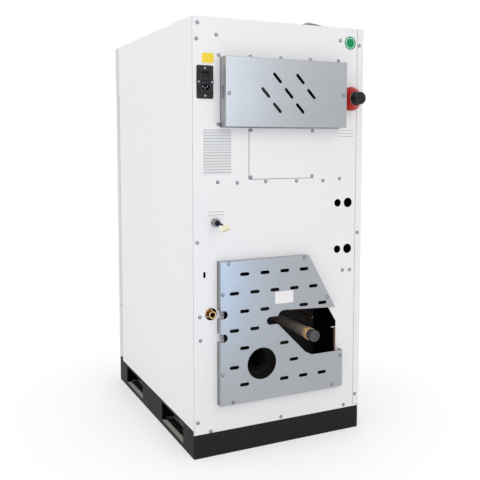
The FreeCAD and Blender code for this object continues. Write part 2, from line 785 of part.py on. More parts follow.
def cover_spacers():
    """Two threaded spacers on the rear sheet that the upper cover's face is screwed to."""
    long = (REAR, REAR + UPPER_DEPTH - COVER_SHEET)
    reach = UPPER_WIDTH / 2 - SPACER_INSET
    return Part.makeCompound([rod_y(x, UPPER_Z, SPACER_RADIUS, long) for x in (-reach, reach)])


def inspection_plate():
    """Flush plate screwed over the hatch behind which the feed motor sits."""
    return box(around(0, PLATE_WIDTH), (REAR, REAR + SHEET), around(PLATE_Z, PLATE_HEIGHT))


def upper_cover():
    """Galvanised box cover: slanted slots in the face and one upright slot in the left wall."""
    wide = around(0, UPPER_WIDTH)
    tall = around(UPPER_Z, UPPER_HEIGHT)
    face_y = REAR + UPPER_DEPTH
    body = box(wide, (REAR, face_y), tall)
    body = bevelled(body, BEND, lambda e: min(v.Y for v in e.Vertexes) > REAR)
    room_x = (wide[0] + COVER_SHEET, wide[1] - COVER_SHEET)
    room_z = (tall[0] + COVER_SHEET, tall[1] - COVER_SHEET)
    body = less(body, box(room_x, (REAR, face_y - COVER_SHEET), room_z))
    through = (REAR, face_y)
    slots = []
    for row, columns in ((1, (-0.5, 0.5)), (0, (-1, 0, 1)), (-1, (-0.5, 0.5))):
        for column in columns:
            place = (column * SLANT_PITCH, UPPER_Z + row * SLANT_ROW)
            slots.append(obround_y(*place, SLANT_LENGTH, SLANT_WIDTH, SLANT_ANGLE, through))
    side_y = around(REAR + UPPER_DEPTH / 2, SIDE_SLOT_WIDTH)
    side = box((room_x[1], wide[1]), side_y, around(UPPER_Z, SIDE_SLOT_HEIGHT))
    return less(body, side, *slots)


def vent_places():
    """Middle of each vent slot: a staggered grid, left out near the notch, flue hole and chamfer."""
    places = []
    for row in range(VENT_ROWS):
        z = LOWER_TOP - VENT_TOP_DROP - row * VENT_ROW
        start = VENT_FIRST + (VENT_PITCH / 2 if row % 2 else 0)
        for column in range(VENT_COLUMNS):
            places.append((start - column * VENT_PITCH, z))
    return [p for p in places if vent_fits(*p)]


def vent_fits(x, z):
    """Whether a vent slot's middle lies on whole sheet, with room round it."""
    reach = VENT_LENGTH / 2 + VENT_CLEAR / 2
    run = LOWER_LEFT + LOWER_RIGHT - LOWER_TOP_WIDTH
    edge = LOWER_LEFT - LOWER_TOP_WIDTH - (LOWER_TOP - z) * run / LOWER_CHAMFER_DROP
    if x - reach < max(edge, -LOWER_RIGHT):
        return False
    if math.hypot(x - FLUE_X, z - FLUE_Z) < FLUE_HOLE_RADIUS + reach:
        return False
    along_roof = (x + LOWER_RIGHT) / (NOTCH_REACH + LOWER_RIGHT)
    roof = LOWER_Z + NOTCH_TOP + along_roof * (NOTCH_PEAK - NOTCH_TOP)
    over = z - VENT_WIDTH / 2 - VENT_CLEAR / 3 > roof
    under = z + VENT_WIDTH < LOWER_Z + NOTCH_FLOOR
    if x > NOTCH_REACH or over or under:
        return x > KEYHOLE_REACH + reach or abs(z - LOWER_Z - KEYHOLE_RISE) > reach
    climb = (z - LOWER_Z - NOTCH_FLOOR) / (KEYHOLE_RISE - KEYHOLE_RADIUS - NOTCH_FLOOR)
    return climb < 1 and x - reach > NOTCH_REACH - NOTCH_FOOT * (1 - climb)


def lower_cover():
    """Galvanised pan with vent slots, flue hole, edge notches and the big notch for the pipe."""
    left = LOWER_LEFT
    right = -LOWER_RIGHT
    outline = [
        (left, LOWER_Z),
        (left, LOWER_TOP),
        (left - LOWER_TOP_WIDTH, LOWER_TOP),
        (right, LOWER_TOP - LOWER_CHAMFER_DROP),
        (right, LOWER_Z),
    ]
    face_y = REAR + LOWER_DEPTH
    body = slab_y(outline, (REAR, face_y))
    body = bevelled(body, BEND, lambda e: min(v.Y for v in e.Vertexes) > REAR)
    edge = Part.makePolygon([V(x, REAR, z) for x, z in outline + outline[:1]])
    inside = edge.makeOffset2D(-COVER_SHEET)
    body = less(body, Part.Face(inside).extrude(V(0, LOWER_DEPTH - COVER_SHEET, 0)))
    through = (REAR, face_y)
    cuts = [rod_y(FLUE_X, FLUE_Z, FLUE_HOLE_RADIUS, through)]
    for x, z in vent_places():
        cuts.append(obround_y(x, z, VENT_LENGTH, VENT_WIDTH, 0, through))
    for rise in (EDGE_NOTCH_LOW, EDGE_NOTCH_HIGH):
        cuts.append(obround_y(left, LOWER_Z + rise, 2 * EDGE_NOTCH_DEPTH, EDGE_NOTCH_HEIGHT, 0, through))
    far = right - LOWER_DEPTH
    notch = slab_y([
        (far, LOWER_Z + NOTCH_TOP),
        (NOTCH_REACH, LOWER_Z + NOTCH_PEAK),
        (NOTCH_REACH, LOWER_Z + KEYHOLE_RISE - KEYHOLE_RADIUS),
        (NOTCH_REACH - NOTCH_FOOT, LOWER_Z + NOTCH_FLOOR + NOTCH_RADIUS / 2),
        (NOTCH_REACH - NOTCH_FOOT - NOTCH_RADIUS, LOWER_Z + NOTCH_FLOOR),
        (far, LOWER_Z + NOTCH_FLOOR),
    ], through)
    notch = rounded(notch, NOTCH_RADIUS, lambda e: corner_at(e, NOTCH_REACH, LOWER_Z + NOTCH_PEAK))
    wide = 2 * KEYHOLE_RADIUS
    keyhole = obround_y(KEYHOLE_REACH - wide, LOWER_Z + KEYHOLE_RISE, 2 * wide, wide, 0, through)
    return less(body, notch, keyhole, *cuts)


def corner_at(edge, x, z):
    """Whether an edge along Y stands at this place in the XZ plane."""
    if not along("y")(edge):
        return False
    point = edge.Vertexes[0].Point
    return abs(point.x - x) < 0.01 and abs(point.z - z) < 0.01


def control_fascia():
    """Hollow control panel with the window and button holes."""
    wide = (-HALF, HALF)
    deep = (FRONT, FRAME_FACE)
    tall = (FASCIA_LOW, TOP)
    body = box(wide, deep, tall)
    body = rounded(body, FRONT_SHEET, lambda e: max(v.Y for v in e.Vertexes) < FRAME_FACE)
    room_x = (wide[0] + FRONT_SHEET, wide[1] - FRONT_SHEET)
    room_z = (tall[0] + FRONT_SHEET, tall[1] - FRONT_SHEET)
    body = less(body, box(room_x, (FRONT + FRONT_SHEET, FRAME_FACE), room_z))
    skin = (FRONT, FRONT + FRONT_SHEET)
    middle = (FASCIA_LOW + TOP) / 2
    window = box(around(0, WINDOW_WIDTH), skin, around(middle + WINDOW_RISE, WINDOW_HEIGHT))
    hole = BUTTON_RADIUS + RUNNING_FIT
    buttons = [rod_y(x, middle - BUTTON_DROP, hole, skin) for x in (-BUTTON_PITCH, 0, BUTTON_PITCH)]
    return less(body, window, *buttons)


def display_window():
    """Clear window with a lip behind the fascia's skin."""
    z = (FASCIA_LOW + TOP) / 2 + WINDOW_RISE
    back = FRONT + FRONT_SHEET
    pane = box(around(0, WINDOW_WIDTH - 2 * SEAM), (FRONT, back), around(z, WINDOW_HEIGHT - 2 * SEAM))
    lip_x = around(0, WINDOW_WIDTH + 2 * WINDOW_LIP)
    lip = box(lip_x, (back, back + FRAME_SHEET), around(z, WINDOW_HEIGHT + 2 * WINDOW_LIP))
    return join(pane, lip)


def button(x):
    """Push button with a collar that keeps it behind the fascia's skin."""
    z = (FASCIA_LOW + TOP) / 2 - BUTTON_DROP
    back = FRONT + FRONT_SHEET + SEAM
    front = FRONT - BUTTON_PROUD
    wide = BUTTON_RADIUS + BUTTON_COLLAR
    edge = front + BUTTON_PROUD / 3
    face = BUTTON_RADIUS - BUTTON_PROUD / 3
    profile = [(0, front), (face, front), (BUTTON_RADIUS, edge), (BUTTON_RADIUS, back)]
    profile += [(wide, back), (wide, back + BUTTON_COLLAR), (0, back + BUTTON_COLLAR)]
    return lathe_y(profile, x, z)


def front_pan(low, high):
    """Folded front skin, open at the back."""
    wide = (FRONT_INSET - HALF, HALF - FRONT_INSET)
    body = box(wide, (FRONT, DOOR_BACK), (low, high))
    body = rounded(body, FRONT_SHEET, lambda e: max(v.Y for v in e.Vertexes) < DOOR_BACK)
    room_x = (wide[0] + FRONT_SHEET, wide[1] - FRONT_SHEET)
    room_z = (low + FRONT_SHEET, high - FRONT_SHEET)
    return less(body, box(room_x, (FRONT + FRONT_SHEET, DOOR_BACK), room_z))


def front_door():
    """Door skin with pivot bosses and the handle's spindle hole."""
    boss = 2 * PIVOT_RADIUS
    deep = PIVOT_DEPTH + boss
    bosses = [rod_z(PIVOT_X, PIVOT_Y, boss, (DOOR_LOW, DOOR_LOW + deep))]
    bosses.append(rod_z(PIVOT_X, PIVOT_Y, boss, (DOOR_TOP - deep, DOOR_TOP)))
    body = join(front_pan(DOOR_LOW, DOOR_TOP), *bosses)
    bore = PIVOT_RADIUS + RUNNING_FIT
    reach = PIVOT_DEPTH + SEAM
    low = rod_z(PIVOT_X, PIVOT_Y, bore, (DOOR_LOW, DOOR_LOW + reach))
    high = rod_z(PIVOT_X, PIVOT_Y, bore, (DOOR_TOP - reach, DOOR_TOP))
    spindle = rod_y(LATCH_X, LATCH_Z, SPINDLE_RADIUS + RUNNING_FIT, (FRONT, DOOR_BACK))
    return less(body, low, high, spindle)


def door_pivots():
    """Two brackets on the face frame, each with a pin that stands in the door's boss."""
    leaf = DOOR_GAP - 2 * LEAF_GAP
    wide = (PIVOT_X - PIVOT_INSET, HALF - FRONT_INSET)
    deep = (PIVOT_Y - PIVOT_INSET, FRAME_FACE)
    low = DRAWER_TOP + LEAF_GAP
    high = DOOR_TOP + LEAF_GAP
    brackets = []
    pins = ((low, DOOR_LOW + PIVOT_DEPTH), (DOOR_TOP - PIVOT_DEPTH, high + leaf))
    for leaf_low, pin_z in zip((low, high), pins):
        plate = box(wide, deep, (leaf_low, leaf_low + leaf))
        brackets.append(join(plate, rod_z(PIVOT_X, PIVOT_Y, PIVOT_RADIUS, pin_z)))
    return Part.makeCompound(brackets)


def door_inner():
    """Inner sheet of the door with the heat-resisting plug that fills the firebox mouth."""
    wide = HALF - FRONT_INSET - LINER_INSET
    deep = (DOOR_BACK, LINER_BACK)
    sheet = box((-wide, wide), deep, (DOOR_LOW + LINER_INSET, DOOR_TOP - LINER_INSET))
    plug_x = around(0, FIREBOX_WIDTH - 2 * PLUG_CLEARANCE)
    plug_z = (FIREBOX_LOW + PLUG_CLEARANCE, FIREBOX_TOP - PLUG_CLEARANCE)
    plug = box(plug_x, (LINER_BACK, LINER_BACK + PLUG_THICKNESS), plug_z)
    spindle = rod_y(LATCH_X, LATCH_Z, SPINDLE_RADIUS + RUNNING_FIT, deep)
    corner = 2 * PIVOT_RADIUS + FRONT_SHEET
    tall = PIVOT_DEPTH + corner
    corner_x = (PIVOT_X - corner, HALF)
    low = box(corner_x, deep, (DOOR_LOW, DOOR_LOW + tall))
    high = box(corner_x, deep, (DOOR_TOP - tall, DOOR_TOP))
    return less(join(sheet, plug), spindle, low, high)


def door_seal():
    """Rope seal that runs round the firebox mouth on the door's inner sheet."""
    deep = (LINER_BACK, FRAME_FACE - SEAM)
    wide = FIREBOX_WIDTH / 2 + SEAL_WIDTH
    low = FIREBOX_LOW - SEAL_WIDTH
    high = FIREBOX_TOP + SEAL_WIDTH
    outer = box((-wide - SEAL_WIDTH, wide + SEAL_WIDTH), deep, (low - SEAL_WIDTH, high + SEAL_WIDTH))
    inner = box((-wide, wide), deep, (low, high))
    outer = rounded(outer, 2 * SEAL_WIDTH, along("y"))
    inner = rounded(inner, SEAL_WIDTH, along("y"))
    return less(outer, inner)


def door_handle():
    """Lever, boss, spindle and latch cam in one turning piece."""
    boss = (FRONT - HANDLE_BOSS_LENGTH, FRONT - SEAM)
    hub = rod_y(LATCH_X, LATCH_Z, HANDLE_BOSS_RADIUS, boss)
    hub = bevelled(hub, HANDLE_BEVEL, lambda e: e.Vertexes[0].Y < boss[0] + HANDLE_BEVEL / 2)
    cam_y = (FRAME_BACK + CAM_GAP, FRAME_BACK + CAM_GAP + CAM_THICKNESS)
    spindle = rod_y(LATCH_X, LATCH_Z, SPINDLE_RADIUS, (boss[0], cam_y[1]))
    cam = box(around(LATCH_X, CAM_WIDTH), cam_y, around(LATCH_Z, CAM_LENGTH))
    cam = cam.common(rod_y(LATCH_X, LATCH_Z, CAM_LENGTH / 2, cam_y))
    lever_y = (FRONT - LEVER_PROUD, FRONT - LEVER_PROUD + LEVER_THICKNESS)
    lever_x = LATCH_X + (LEVER_LENGTH - LEVER_WIDTH) / 2
    lever = obround_y(lever_x, LATCH_Z, LEVER_LENGTH, LEVER_WIDTH, 0, lever_y)
    edge = lever_y[0] + HANDLE_BEVEL / 2
    lever = bevelled(lever, HANDLE_BEVEL, lambda e: max(v.Y for v in e.Vertexes) < edge)
    neck_y = (lever_y[0] + 2 * HANDLE_BEVEL, boss[0] + 2 * HANDLE_BEVEL)
    neck = rod_y(LATCH_X, LATCH_Z, SPINDLE_RADIUS + HANDLE_NECK, neck_y)
    return join(hub, spindle, cam, neck, lever)


def drawer_front():
    """Folded drawer skin with a turned-down pull lip and the plate that closes its back."""
    low = DRAWER_TOP - PULL_DROP
    tip = FRONT - PULL_REACH
    inner = tip + PULL_SHEET
    root = FRONT + FRONT_SHEET
    pull = [(root, low), (tip, low), (tip, low - PULL_LIP), (inner, low - PULL_LIP)]
    pull += [(inner, low - PULL_SHEET), (root, low - PULL_SHEET)]
    reach = HALF - FRONT_INSET - LINER_INSET
    plate_z = (DRAWER_LOW + LINER_INSET, DRAWER_TOP - LINER_INSET)
    plate = box((-reach, reach), (DOOR_BACK, LINER_BACK), plate_z)
    skin = join(front_pan(DRAWER_LOW, DRAWER_TOP), slab_x(pull, around(0, PULL_WIDTH)))
    return Part.makeCompound([skin, plate])


def ash_drawer():
    """Open-topped ash box fixed to the back plate of the drawer's front."""
    low = BAY_LOW + RUNNER_HEIGHT + SEAM
    deep = (LINER_BACK, LINER_BACK + DRAWER_DEPTH)
    wide = around(0, DRAWER_WIDTH)
    body = box(wide, deep, (low, low + DRAWER_HEIGHT))
    room_x = (wide[0] + FRONT_SHEET, wide[1] - FRONT_SHEET)
    room_y = (deep[0] + FRONT_SHEET, deep[1] - FRONT_SHEET)
    return less(body, box(room_x, room_y, (low + FRONT_SHEET, low + DRAWER_HEIGHT)))


def boiler_jacket():
    """Welded outer shell of the water space, with the furnace mouths and the drop-chute hole."""
    wide = (-JACKET_HALF, JACKET_HALF)
    deep = (FRAME_BACK, JACKET_REAR)
    wall = JACKET_WALL
    body = box(wide, deep, (DECK, JACKET_TOP))
    room_x = (wide[0] + wall, wide[1] - wall)
    room_y = (deep[0] + wall, deep[1] - wall)
    room = box(room_x, room_y, (DECK + wall, JACKET_TOP - wall))
    front = (FRAME_BACK, FRAME_BACK + wall)
    fire_z = (FIREBOX_LOW - LINER_WALL, FIREBOX_TOP + LINER_WALL)
    fire = box(around(0, FIREBOX_WIDTH + 2 * LINER_WALL), front, fire_z)
    bay = box(around(0, BAY_WIDTH + 2 * LINER_WALL), front, (BAY_LOW - LINER_WALL, BAY_TOP + LINER_WALL))
    slot = CHUTE_SIZE + 2 * SEAM
    chute = box(around(0, slot), around(CHUTE_Y, slot), (JACKET_TOP - wall, JACKET_TOP))
    return less(body, room, fire, bay, chute)


def ash_slot(grow):
    """Width and depth of the duct between firebox and ash bay, grown outwards by a wall."""
    near = FRAME_BACK + ASH_SLOT_INSET
    wide = around(0, FIREBOX_WIDTH - 2 * ASH_SLOT_EDGE + 2 * grow)
    return wide, (near - grow, near + ASH_SLOT_DEPTH + grow)


def furnace():
    """Firebox, open to the front, with the ash slot in its floor, the chute hole and the baffle ledges."""
    wall = LINER_WALL
    x = around(0, FIREBOX_WIDTH)
    y = (FRAME_BACK, FIREBOX_REAR)
    shell_z = (FIREBOX_LOW - wall, FIREBOX_TOP + wall)
    shell = box((x[0] - wall, x[1] + wall), (y[0], y[1] + wall), shell_z)
    slot = CHUTE_SIZE + 2 * SEAM
    chute = box(around(0, slot), around(CHUTE_Y, slot), (FIREBOX_TOP, FIREBOX_TOP + wall))
    ash = box(*ash_slot(0), (FIREBOX_LOW - wall, FIREBOX_LOW))
    shell = less(shell, box(x, y, (FIREBOX_LOW, FIREBOX_TOP)), chute, ash)
    ledge_y = (y[0] + PLUG_THICKNESS + wall, y[1])
    ledge_z = (BAFFLE_LOW - wall, BAFFLE_LOW)
    left = box((x[1] - LEDGE_WIDTH, x[1]), ledge_y, ledge_z)
    right = box((x[0], x[0] + LEDGE_WIDTH), ledge_y, ledge_z)
    return join(shell, left, right)


def ash_bay():
    """Bay for the ash drawer, open to the front, with its runners and the duct up to the firebox."""
    wall = LINER_WALL
    x = around(0, BAY_WIDTH)
    y = (FRAME_BACK, FRAME_BACK + BAY_DEPTH)
    shell = box((x[0] - wall, x[1] + wall), (y[0], y[1] + wall), (BAY_LOW - wall, BAY_TOP + wall))
    duct_z = (BAY_TOP, FIREBOX_LOW - wall)
    shell = join(shell, box(*ash_slot(wall), duct_z))
    shell = less(shell, box(x, y, (BAY_LOW, BAY_TOP)), box(*ash_slot(0), duct_z))
    reach = DRAWER_WIDTH / 2 - 2 * RUNNER_WIDTH
    runner_y = (y[0] + wall, y[1])
    runner_z = (BAY_LOW, BAY_LOW + RUNNER_HEIGHT)
    runners = [box(around(place, RUNNER_WIDTH), runner_y, runner_z) for place in (-reach, reach)]
    return join(shell, *runners)


def boiler_insulation():
    """Mineral wool on both sides of the jacket, joined by a band across its rear."""
    outer = JACKET_HALF + INSULATION
    band_z = (DECK + INSULATION_BAND_RISE, JACKET_TOP - INSULATION_BAND_DROP)
    band = box((-outer, outer), (JACKET_REAR, JACKET_REAR + INSULATION), band_z)
    side_y = (FRAME_BACK, JACKET_REAR)
    sides = [box(sorted((s * JACKET_HALF, s * outer)), side_y, (DECK, JACKET_TOP)) for s in (-1, 1)]
    return join(band, *sides)


def burner_base():
    """Air box under the burner pot, open below, with the pot and igniter holes."""
    wide = around(0, BASE_WIDTH)
    deep = around(CHUTE_Y, BASE_DEPTH)
    top = FIREBOX_LOW + BASE_HEIGHT
    wall = LINER_WALL
    body = box(wide, deep, (FIREBOX_LOW, top))
    room = box((wide[0] + wall, wide[1] - wall), (deep[0] + wall, deep[1] - wall), (FIREBOX_LOW, top - wall))
    pot_x = around(0, POT_WIDTH + 2 * SEAM)
    pot = box(pot_x, around(CHUTE_Y, POT_DEPTH + 2 * SEAM), (top - wall, top))
    igniter = rod_y(0, FIREBOX_LOW + BASE_HEIGHT / 2, IGNITER_RADIUS + SEAM, (deep[1] - wall, deep[1]))
    return less(body, room, pot, igniter)


def burner_pot():
    """Cast cup that hangs in the air box by its flange, with air holes in its floor."""
    seat = FIREBOX_LOW + BASE_HEIGHT
    top = seat + POT_PROUD
    low = top - POT_HEIGHT
    body = box(around(0, POT_WIDTH), around(CHUTE_Y, POT_DEPTH), (low, top))
    flange_x = around(0, POT_WIDTH + 2 * POT_FLANGE)
    flange = box(flange_x, around(CHUTE_Y, POT_DEPTH + 2 * POT_FLANGE), (seat, seat + POT_WALL))
    body = join(body, flange)
    room_x = around(0, POT_WIDTH - 2 * POT_WALL)
    room = box(room_x, around(CHUTE_Y, POT_DEPTH - 2 * POT_WALL), (low + POT_WALL, top))
    holes = []
    for column in range(POT_HOLE_COLUMNS):
        x = (column - (POT_HOLE_COLUMNS - 1) / 2) * POT_HOLE_PITCH
        for row in range(POT_HOLE_ROWS):
            y = CHUTE_Y + (row - (POT_HOLE_ROWS - 1) / 2) * POT_HOLE_PITCH
            holes.append(rod_z(x, y, POT_HOLE_RADIUS, (low, low + POT_WALL)))
    return less(body, room, *holes)


def igniter():
    """Glow rod that reaches through the air box to the back of the pot."""
    tip = CHUTE_Y + POT_DEPTH / 2 + IGNITER_GAP
    wide = 2 * IGNITER_RADIUS
    head = FIREBOX_REAR - IGNITER_HEAD
    profile = [(0, tip), (IGNITER_RADIUS, tip), (IGNITER_RADIUS, head)]
    profile += [(wide, head), (wide, FIREBOX_REAR), (0, FIREBOX_REAR)]
    return lathe_y(profile, 0, FIREBOX_LOW + BASE_HEIGHT / 2)


def flame_baffle():
    """Refractory plate on the ledges, with a hole for the drop chute."""
    wide = around(0, FIREBOX_WIDTH - 2 * BAFFLE_EDGE)
    deep = (FRAME_BACK + PLUG_THICKNESS + 2 * LINER_WALL, FIREBOX_REAR - BAFFLE_EDGE)
    tall = (BAFFLE_LOW, BAFFLE_LOW + BAFFLE_THICKNESS)
    hole = CHUTE_SIZE + 2 * BAFFLE_EDGE
    return less(box(wide, deep, tall), box(around(0, hole), around(CHUTE_Y, hole), tall))


def funnel(grow):
    """Hopper's inside, grown outwards by a wall: collar, rear slope, upright part and funnel."""
    x = (HOPPER_RIGHT + HOPPER_WALL - grow, HOPPER_LEFT - HOPPER_WALL + grow)
    collar_y = (HOPPER_FRONT + HOPPER_WALL - grow, REAR - HOPPER_COLLAR_SPACE - HOPPER_WALL + grow)
    body_y = (HOPPER_FRONT + HOPPER_WALL - grow, HOPPER_REAR - HOPPER_WALL + grow)
    neck = TUBE_RADIUS - TUBE_WALL + grow
    funnel_top = AUGER_Z + FUNNEL_RISE
    collar_low = PANEL_TOP - HOPPER_COLLAR
    slope_low = max(collar_low - HOPPER_SLOPE, funnel_top)
    levels = [
        (PANEL_TOP, x, collar_y),
        (collar_low, x, collar_y),
        (slope_low, x, body_y),
        (funnel_top, x, body_y),
        (TROUGH_Z, (-neck, neck), body_y),
    ]
    levels = [level for i, level in enumerate(levels) if i == 0 or levels[i - 1][0] - level[0] > 0.01]
    corners = ((0, 0), (1, 0), (1, 1), (0, 1))
    return flat_sided([[V(wide[i], deep[j], z) for i, j in corners] for z, wide, deep in levels])


def hopper():
    """Sheet hopper under the top panel, narrowing to a flange that sits on the feed trough."""
    flange_x = around(0, 2 * (TUBE_RADIUS + TROUGH_FLANGE))
    flange = box(flange_x, (HOPPER_FRONT, HOPPER_REAR), (TROUGH_Z, TROUGH_Z + HOPPER_WALL))
    front = (HOPPER_FRONT, HOPPER_FRONT + HOPPER_WALL)
    screw_way = rod_y(0, AUGER_Z, TUBE_RADIUS - TUBE_WALL, front)
    return less(join(funnel(HOPPER_WALL), flange), funnel(0), screw_way)


def auger_tube():
    """Feed tube: open trough under the hopper, end plates, and the drop chute at its front."""
    front = CHUTE_Y - CHUTE_SIZE / 2 - AUGER_NOSE
    long = (front, HOPPER_REAR)
    chute_y = around(CHUTE_Y, CHUTE_SIZE)
    duct = box(around(0, CHUTE_SIZE), chute_y, (CHUTE_LOW, AUGER_Z))
    body = join(rod_y(0, AUGER_Z, TUBE_RADIUS, long), duct)
    trough_y = (HOPPER_FRONT, HOPPER_REAR)
    wing = TUBE_RADIUS + TROUGH_FLANGE
    wings = box((-wing, wing), trough_y, (TROUGH_Z - TUBE_WALL, TROUGH_Z))
    side = TUBE_RADIUS + TROUGH_FLANGE / 2
    plate = box((-side, side), (HOPPER_REAR, TUBE_REAR), around(AUGER_Z, 2 * side))
    foot = CHUTE_SIZE + 2 * CHUTE_FLANGE
    saddle = box(around(0, foot), around(CHUTE_Y, foot), (JACKET_TOP, JACKET_TOP + TUBE_WALL))
    body = join(body, wings, plate, saddle)
    above = box((-wing, wing), trough_y, (TROUGH_Z, AUGER_Z + TUBE_RADIUS))
    room = rod_y(0, AUGER_Z, TUBE_RADIUS - TUBE_WALL, (front + AUGER_NOSE, HOPPER_REAR))
    inner = CHUTE_SIZE - 2 * CHUTE_WALL
    shaft = rod_y(0, AUGER_Z, AUGER_SHAFT_RADIUS + RUNNING_FIT, (HOPPER_REAR, TUBE_REAR))
    nose = rod_y(0, AUGER_Z, AUGER_NOSE_RADIUS + RUNNING_FIT, (front, front + AUGER_NOSE))
    mouth = box(around(0, inner), around(CHUTE_Y, inner), (CHUTE_LOW, AUGER_Z))
    wide = around(0, 2 * foot)
    base = AUGER_Z - TUBE_RADIUS
    rooms = [box(wide, around(CHUTE_Y, 2 * foot), (CHUTE_LOW, base))]
    rooms.append(box(wide, (front, HOPPER_FRONT), (base, AUGER_Z + wing)))
    rooms.append(box(wide, (HOPPER_FRONT, TUBE_REAR), (CHUTE_LOW, AUGER_Z + wing)))
    return parted(less(body, above, room, shaft, nose, mouth), rooms)


def helix_point(radius, step, lift):
    """Point of the flight's edge: the turn runs about an axis along Y."""
    turn = 2 * math.pi * step / FLIGHT_STEPS
    rise = FLIGHT_PITCH * step / FLIGHT_STEPS
    return V(radius * math.cos(turn), rise + lift, radius * math.sin(turn))


def flight(length):
    """Screw flight as a closed skin of flat facets."""
    inner = AUGER_SHAFT_RADIUS - FLIGHT_ROOT
    outer = FLIGHT_RADIUS
    corners = ((inner, 0), (outer, 0), (outer, FLIGHT_THICKNESS), (inner, FLIGHT_THICKNESS))
    steps = int(length / FLIGHT_PITCH * FLIGHT_STEPS)
    faces = []

    def panel(a, b, c, d):
        for corners in ([a, b, c], [a, c, d]):
            faces.append(Part.Face(Part.makePolygon(corners + corners[:1])))

    for step in range(steps):
        near = [helix_point(r, step, lift) for r, lift in corners]
        far = [helix_point(r, step + 1, lift) for r, lift in corners]
        for i, j in ((0, 1), (1, 2), (2, 3), (3, 0)):
            panel(near[i], near[j], far[j], far[i])
    for step in (0, steps):
        ends = [helix_point(r, step, lift) for r, lift in corners]
        faces.append(Part.Face(Part.makePolygon(ends + ends[:1])))
    solid = Part.makeSolid(Part.makeShell(faces))
    if solid.Volume < 0:
        solid.reverse()
    return solid


def auger_screw():
    """Shaft and flight, carried in the tube's end plate and in the gearbox."""
    front = CHUTE_Y - CHUTE_SIZE / 2
    rear = TUBE_REAR + GEARBOX_SOCKET - SEAM
    shaft = rod_y(0, AUGER_Z, AUGER_SHAFT_RADIUS, (front + SEAM, rear))
    nose = rod_y(0, AUGER_Z, AUGER_NOSE_RADIUS, (front - AUGER_NOSE, front + SEAM))
    start = front + FLIGHT_THICKNESS
    screw = flight(HOPPER_REAR - start - 2 * FLIGHT_THICKNESS)
    screw.translate(V(0, start, AUGER_Z))
    return join(shaft, nose, screw)


def auger_gearmotor():
    """Flat gearbox on the tube's end plate, with the motor and its winding behind it."""
    box_y = (TUBE_REAR, TUBE_REAR + GEARBOX_DEPTH)
    z = AUGER_Z + (GEARBOX_HEIGHT - GEARBOX_WIDTH) / 2
    gearbox = box(around(0, GEARBOX_WIDTH), box_y, around(z, GEARBOX_HEIGHT))
    gearbox = rounded(gearbox, GEARBOX_CORNER, along("y"))
    motor_y = (box_y[1], box_y[1] + MOTOR_DEPTH)
    stack_y = around((motor_y[0] + motor_y[1]) / 2, MOTOR_DEPTH / 2)
    stack = box(around(0, MOTOR_WIDTH), stack_y, around(z, MOTOR_HEIGHT))
    rotor = rod_y(0, z, MOTOR_WIDTH / 3, motor_y)
    winding_z = (z + MOTOR_HEIGHT * 0.1, z + MOTOR_HEIGHT * 0.45)
    winding = box(around(0, MOTOR_WIDTH * 0.7), motor_y, winding_z)
    winding = rounded(winding, WINDING_CORNER, along("x"))
    socket = rod_y(0, AUGER_Z, AUGER_SHAFT_RADIUS + RUNNING_FIT, (box_y[0], box_y[0] + GEARBOX_SOCKET))
    return less(join(gearbox, stack, rotor, winding), socket)


def hopper_lid():
    """Sheet lid with a rim in the mouth, a bent-up grip strip and two hinge knuckles."""
    low = TOP + SEAM
    high = low + SHEET
    x = (MOUTH_X0 - LID_OVERLAP, MOUTH_X1 + LID_OVERLAP)
    y = (MOUTH_Y0 - LID_OVERLAP, MOUTH_Y1 + LID_OVERLAP)
    plate = rounded(box(x, y, (low, high)), LID_CORNER, along("z"))
    rim_x = (MOUTH_X0 + LID_RIM_GAP, MOUTH_X1 - LID_RIM_GAP)
    rim_y = (MOUTH_Y0 + LID_RIM_GAP, MOUTH_Y1 - LID_RIM_GAP)
    rim_z = (TOP - LID_RIM, low)
    rim = box(rim_x, rim_y, rim_z)
    room = box((rim_x[0] + SHEET, rim_x[1] - SHEET), (rim_y[0] + SHEET, rim_y[1] - SHEET), rim_z)
    rim = less(rim, room)
    edge = MOUTH_X1 - GRIP_INSET
    bend = edge - GRIP_RUN
    tip = TOP + GRIP_RISE
    strip = slab_y([
        (bend - GRIP_FOOT, high),
        (bend - GRIP_FOOT, high + SHEET),
        (bend, high + SHEET),
        (edge, tip),
        (edge, tip - SHEET),
        (bend, high),
    ], (y[1] - GRIP_SETBACK - GRIP_LENGTH, y[1] - GRIP_SETBACK))
    pieces = [plate, rim, strip]
    bores = []
    for knuckle_y in hinge_places():
        long = around(knuckle_y, KNUCKLE_LENGTH)
        pieces.append(rod_y(HINGE_X, HINGE_Z, HINGE_RADIUS, long))
        pieces.append(box((HINGE_X, x[0] + LID_CORNER), long, (low, high)))
        bores.append(rod_y(HINGE_X, HINGE_Z, HINGE_PIN_RADIUS + RUNNING_FIT, long))
    return less(join(*pieces), *bores)


def hinge_places():
    """Middle of each lid hinge along Y."""
    middle = (MOUTH_Y0 + MOUTH_Y1) / 2 - 2 * LID_OVERLAP
    return [middle - HINGE_SPACING / 2, middle + HINGE_SPACING / 2]


def lid_hinges():
    """Two fixed leaves on the top panel, each with its outer knuckles and pin."""
    hinges = []
    for y in hinge_places():
        long = around(y, HINGE_LENGTH)
        barrel = rod_y(HINGE_X, HINGE_Z, HINGE_RADIUS, long)
        leaf = box((HINGE_X - 3 * HINGE_RADIUS, HINGE_X), long, (TOP, TOP + SHEET))
        gap = around(y, KNUCKLE_LENGTH + 2 * SEAM)
        swing = HINGE_RADIUS + SEAM
        middle = box((HINGE_X - swing, HINGE_X + swing), gap, (TOP, HINGE_Z + swing))
        pin = rod_y(HINGE_X, HINGE_Z, HINGE_PIN_RADIUS, long)
        hinges.append(join(less(join(barrel, leaf), middle), pin))
    return Part.makeCompound(hinges)


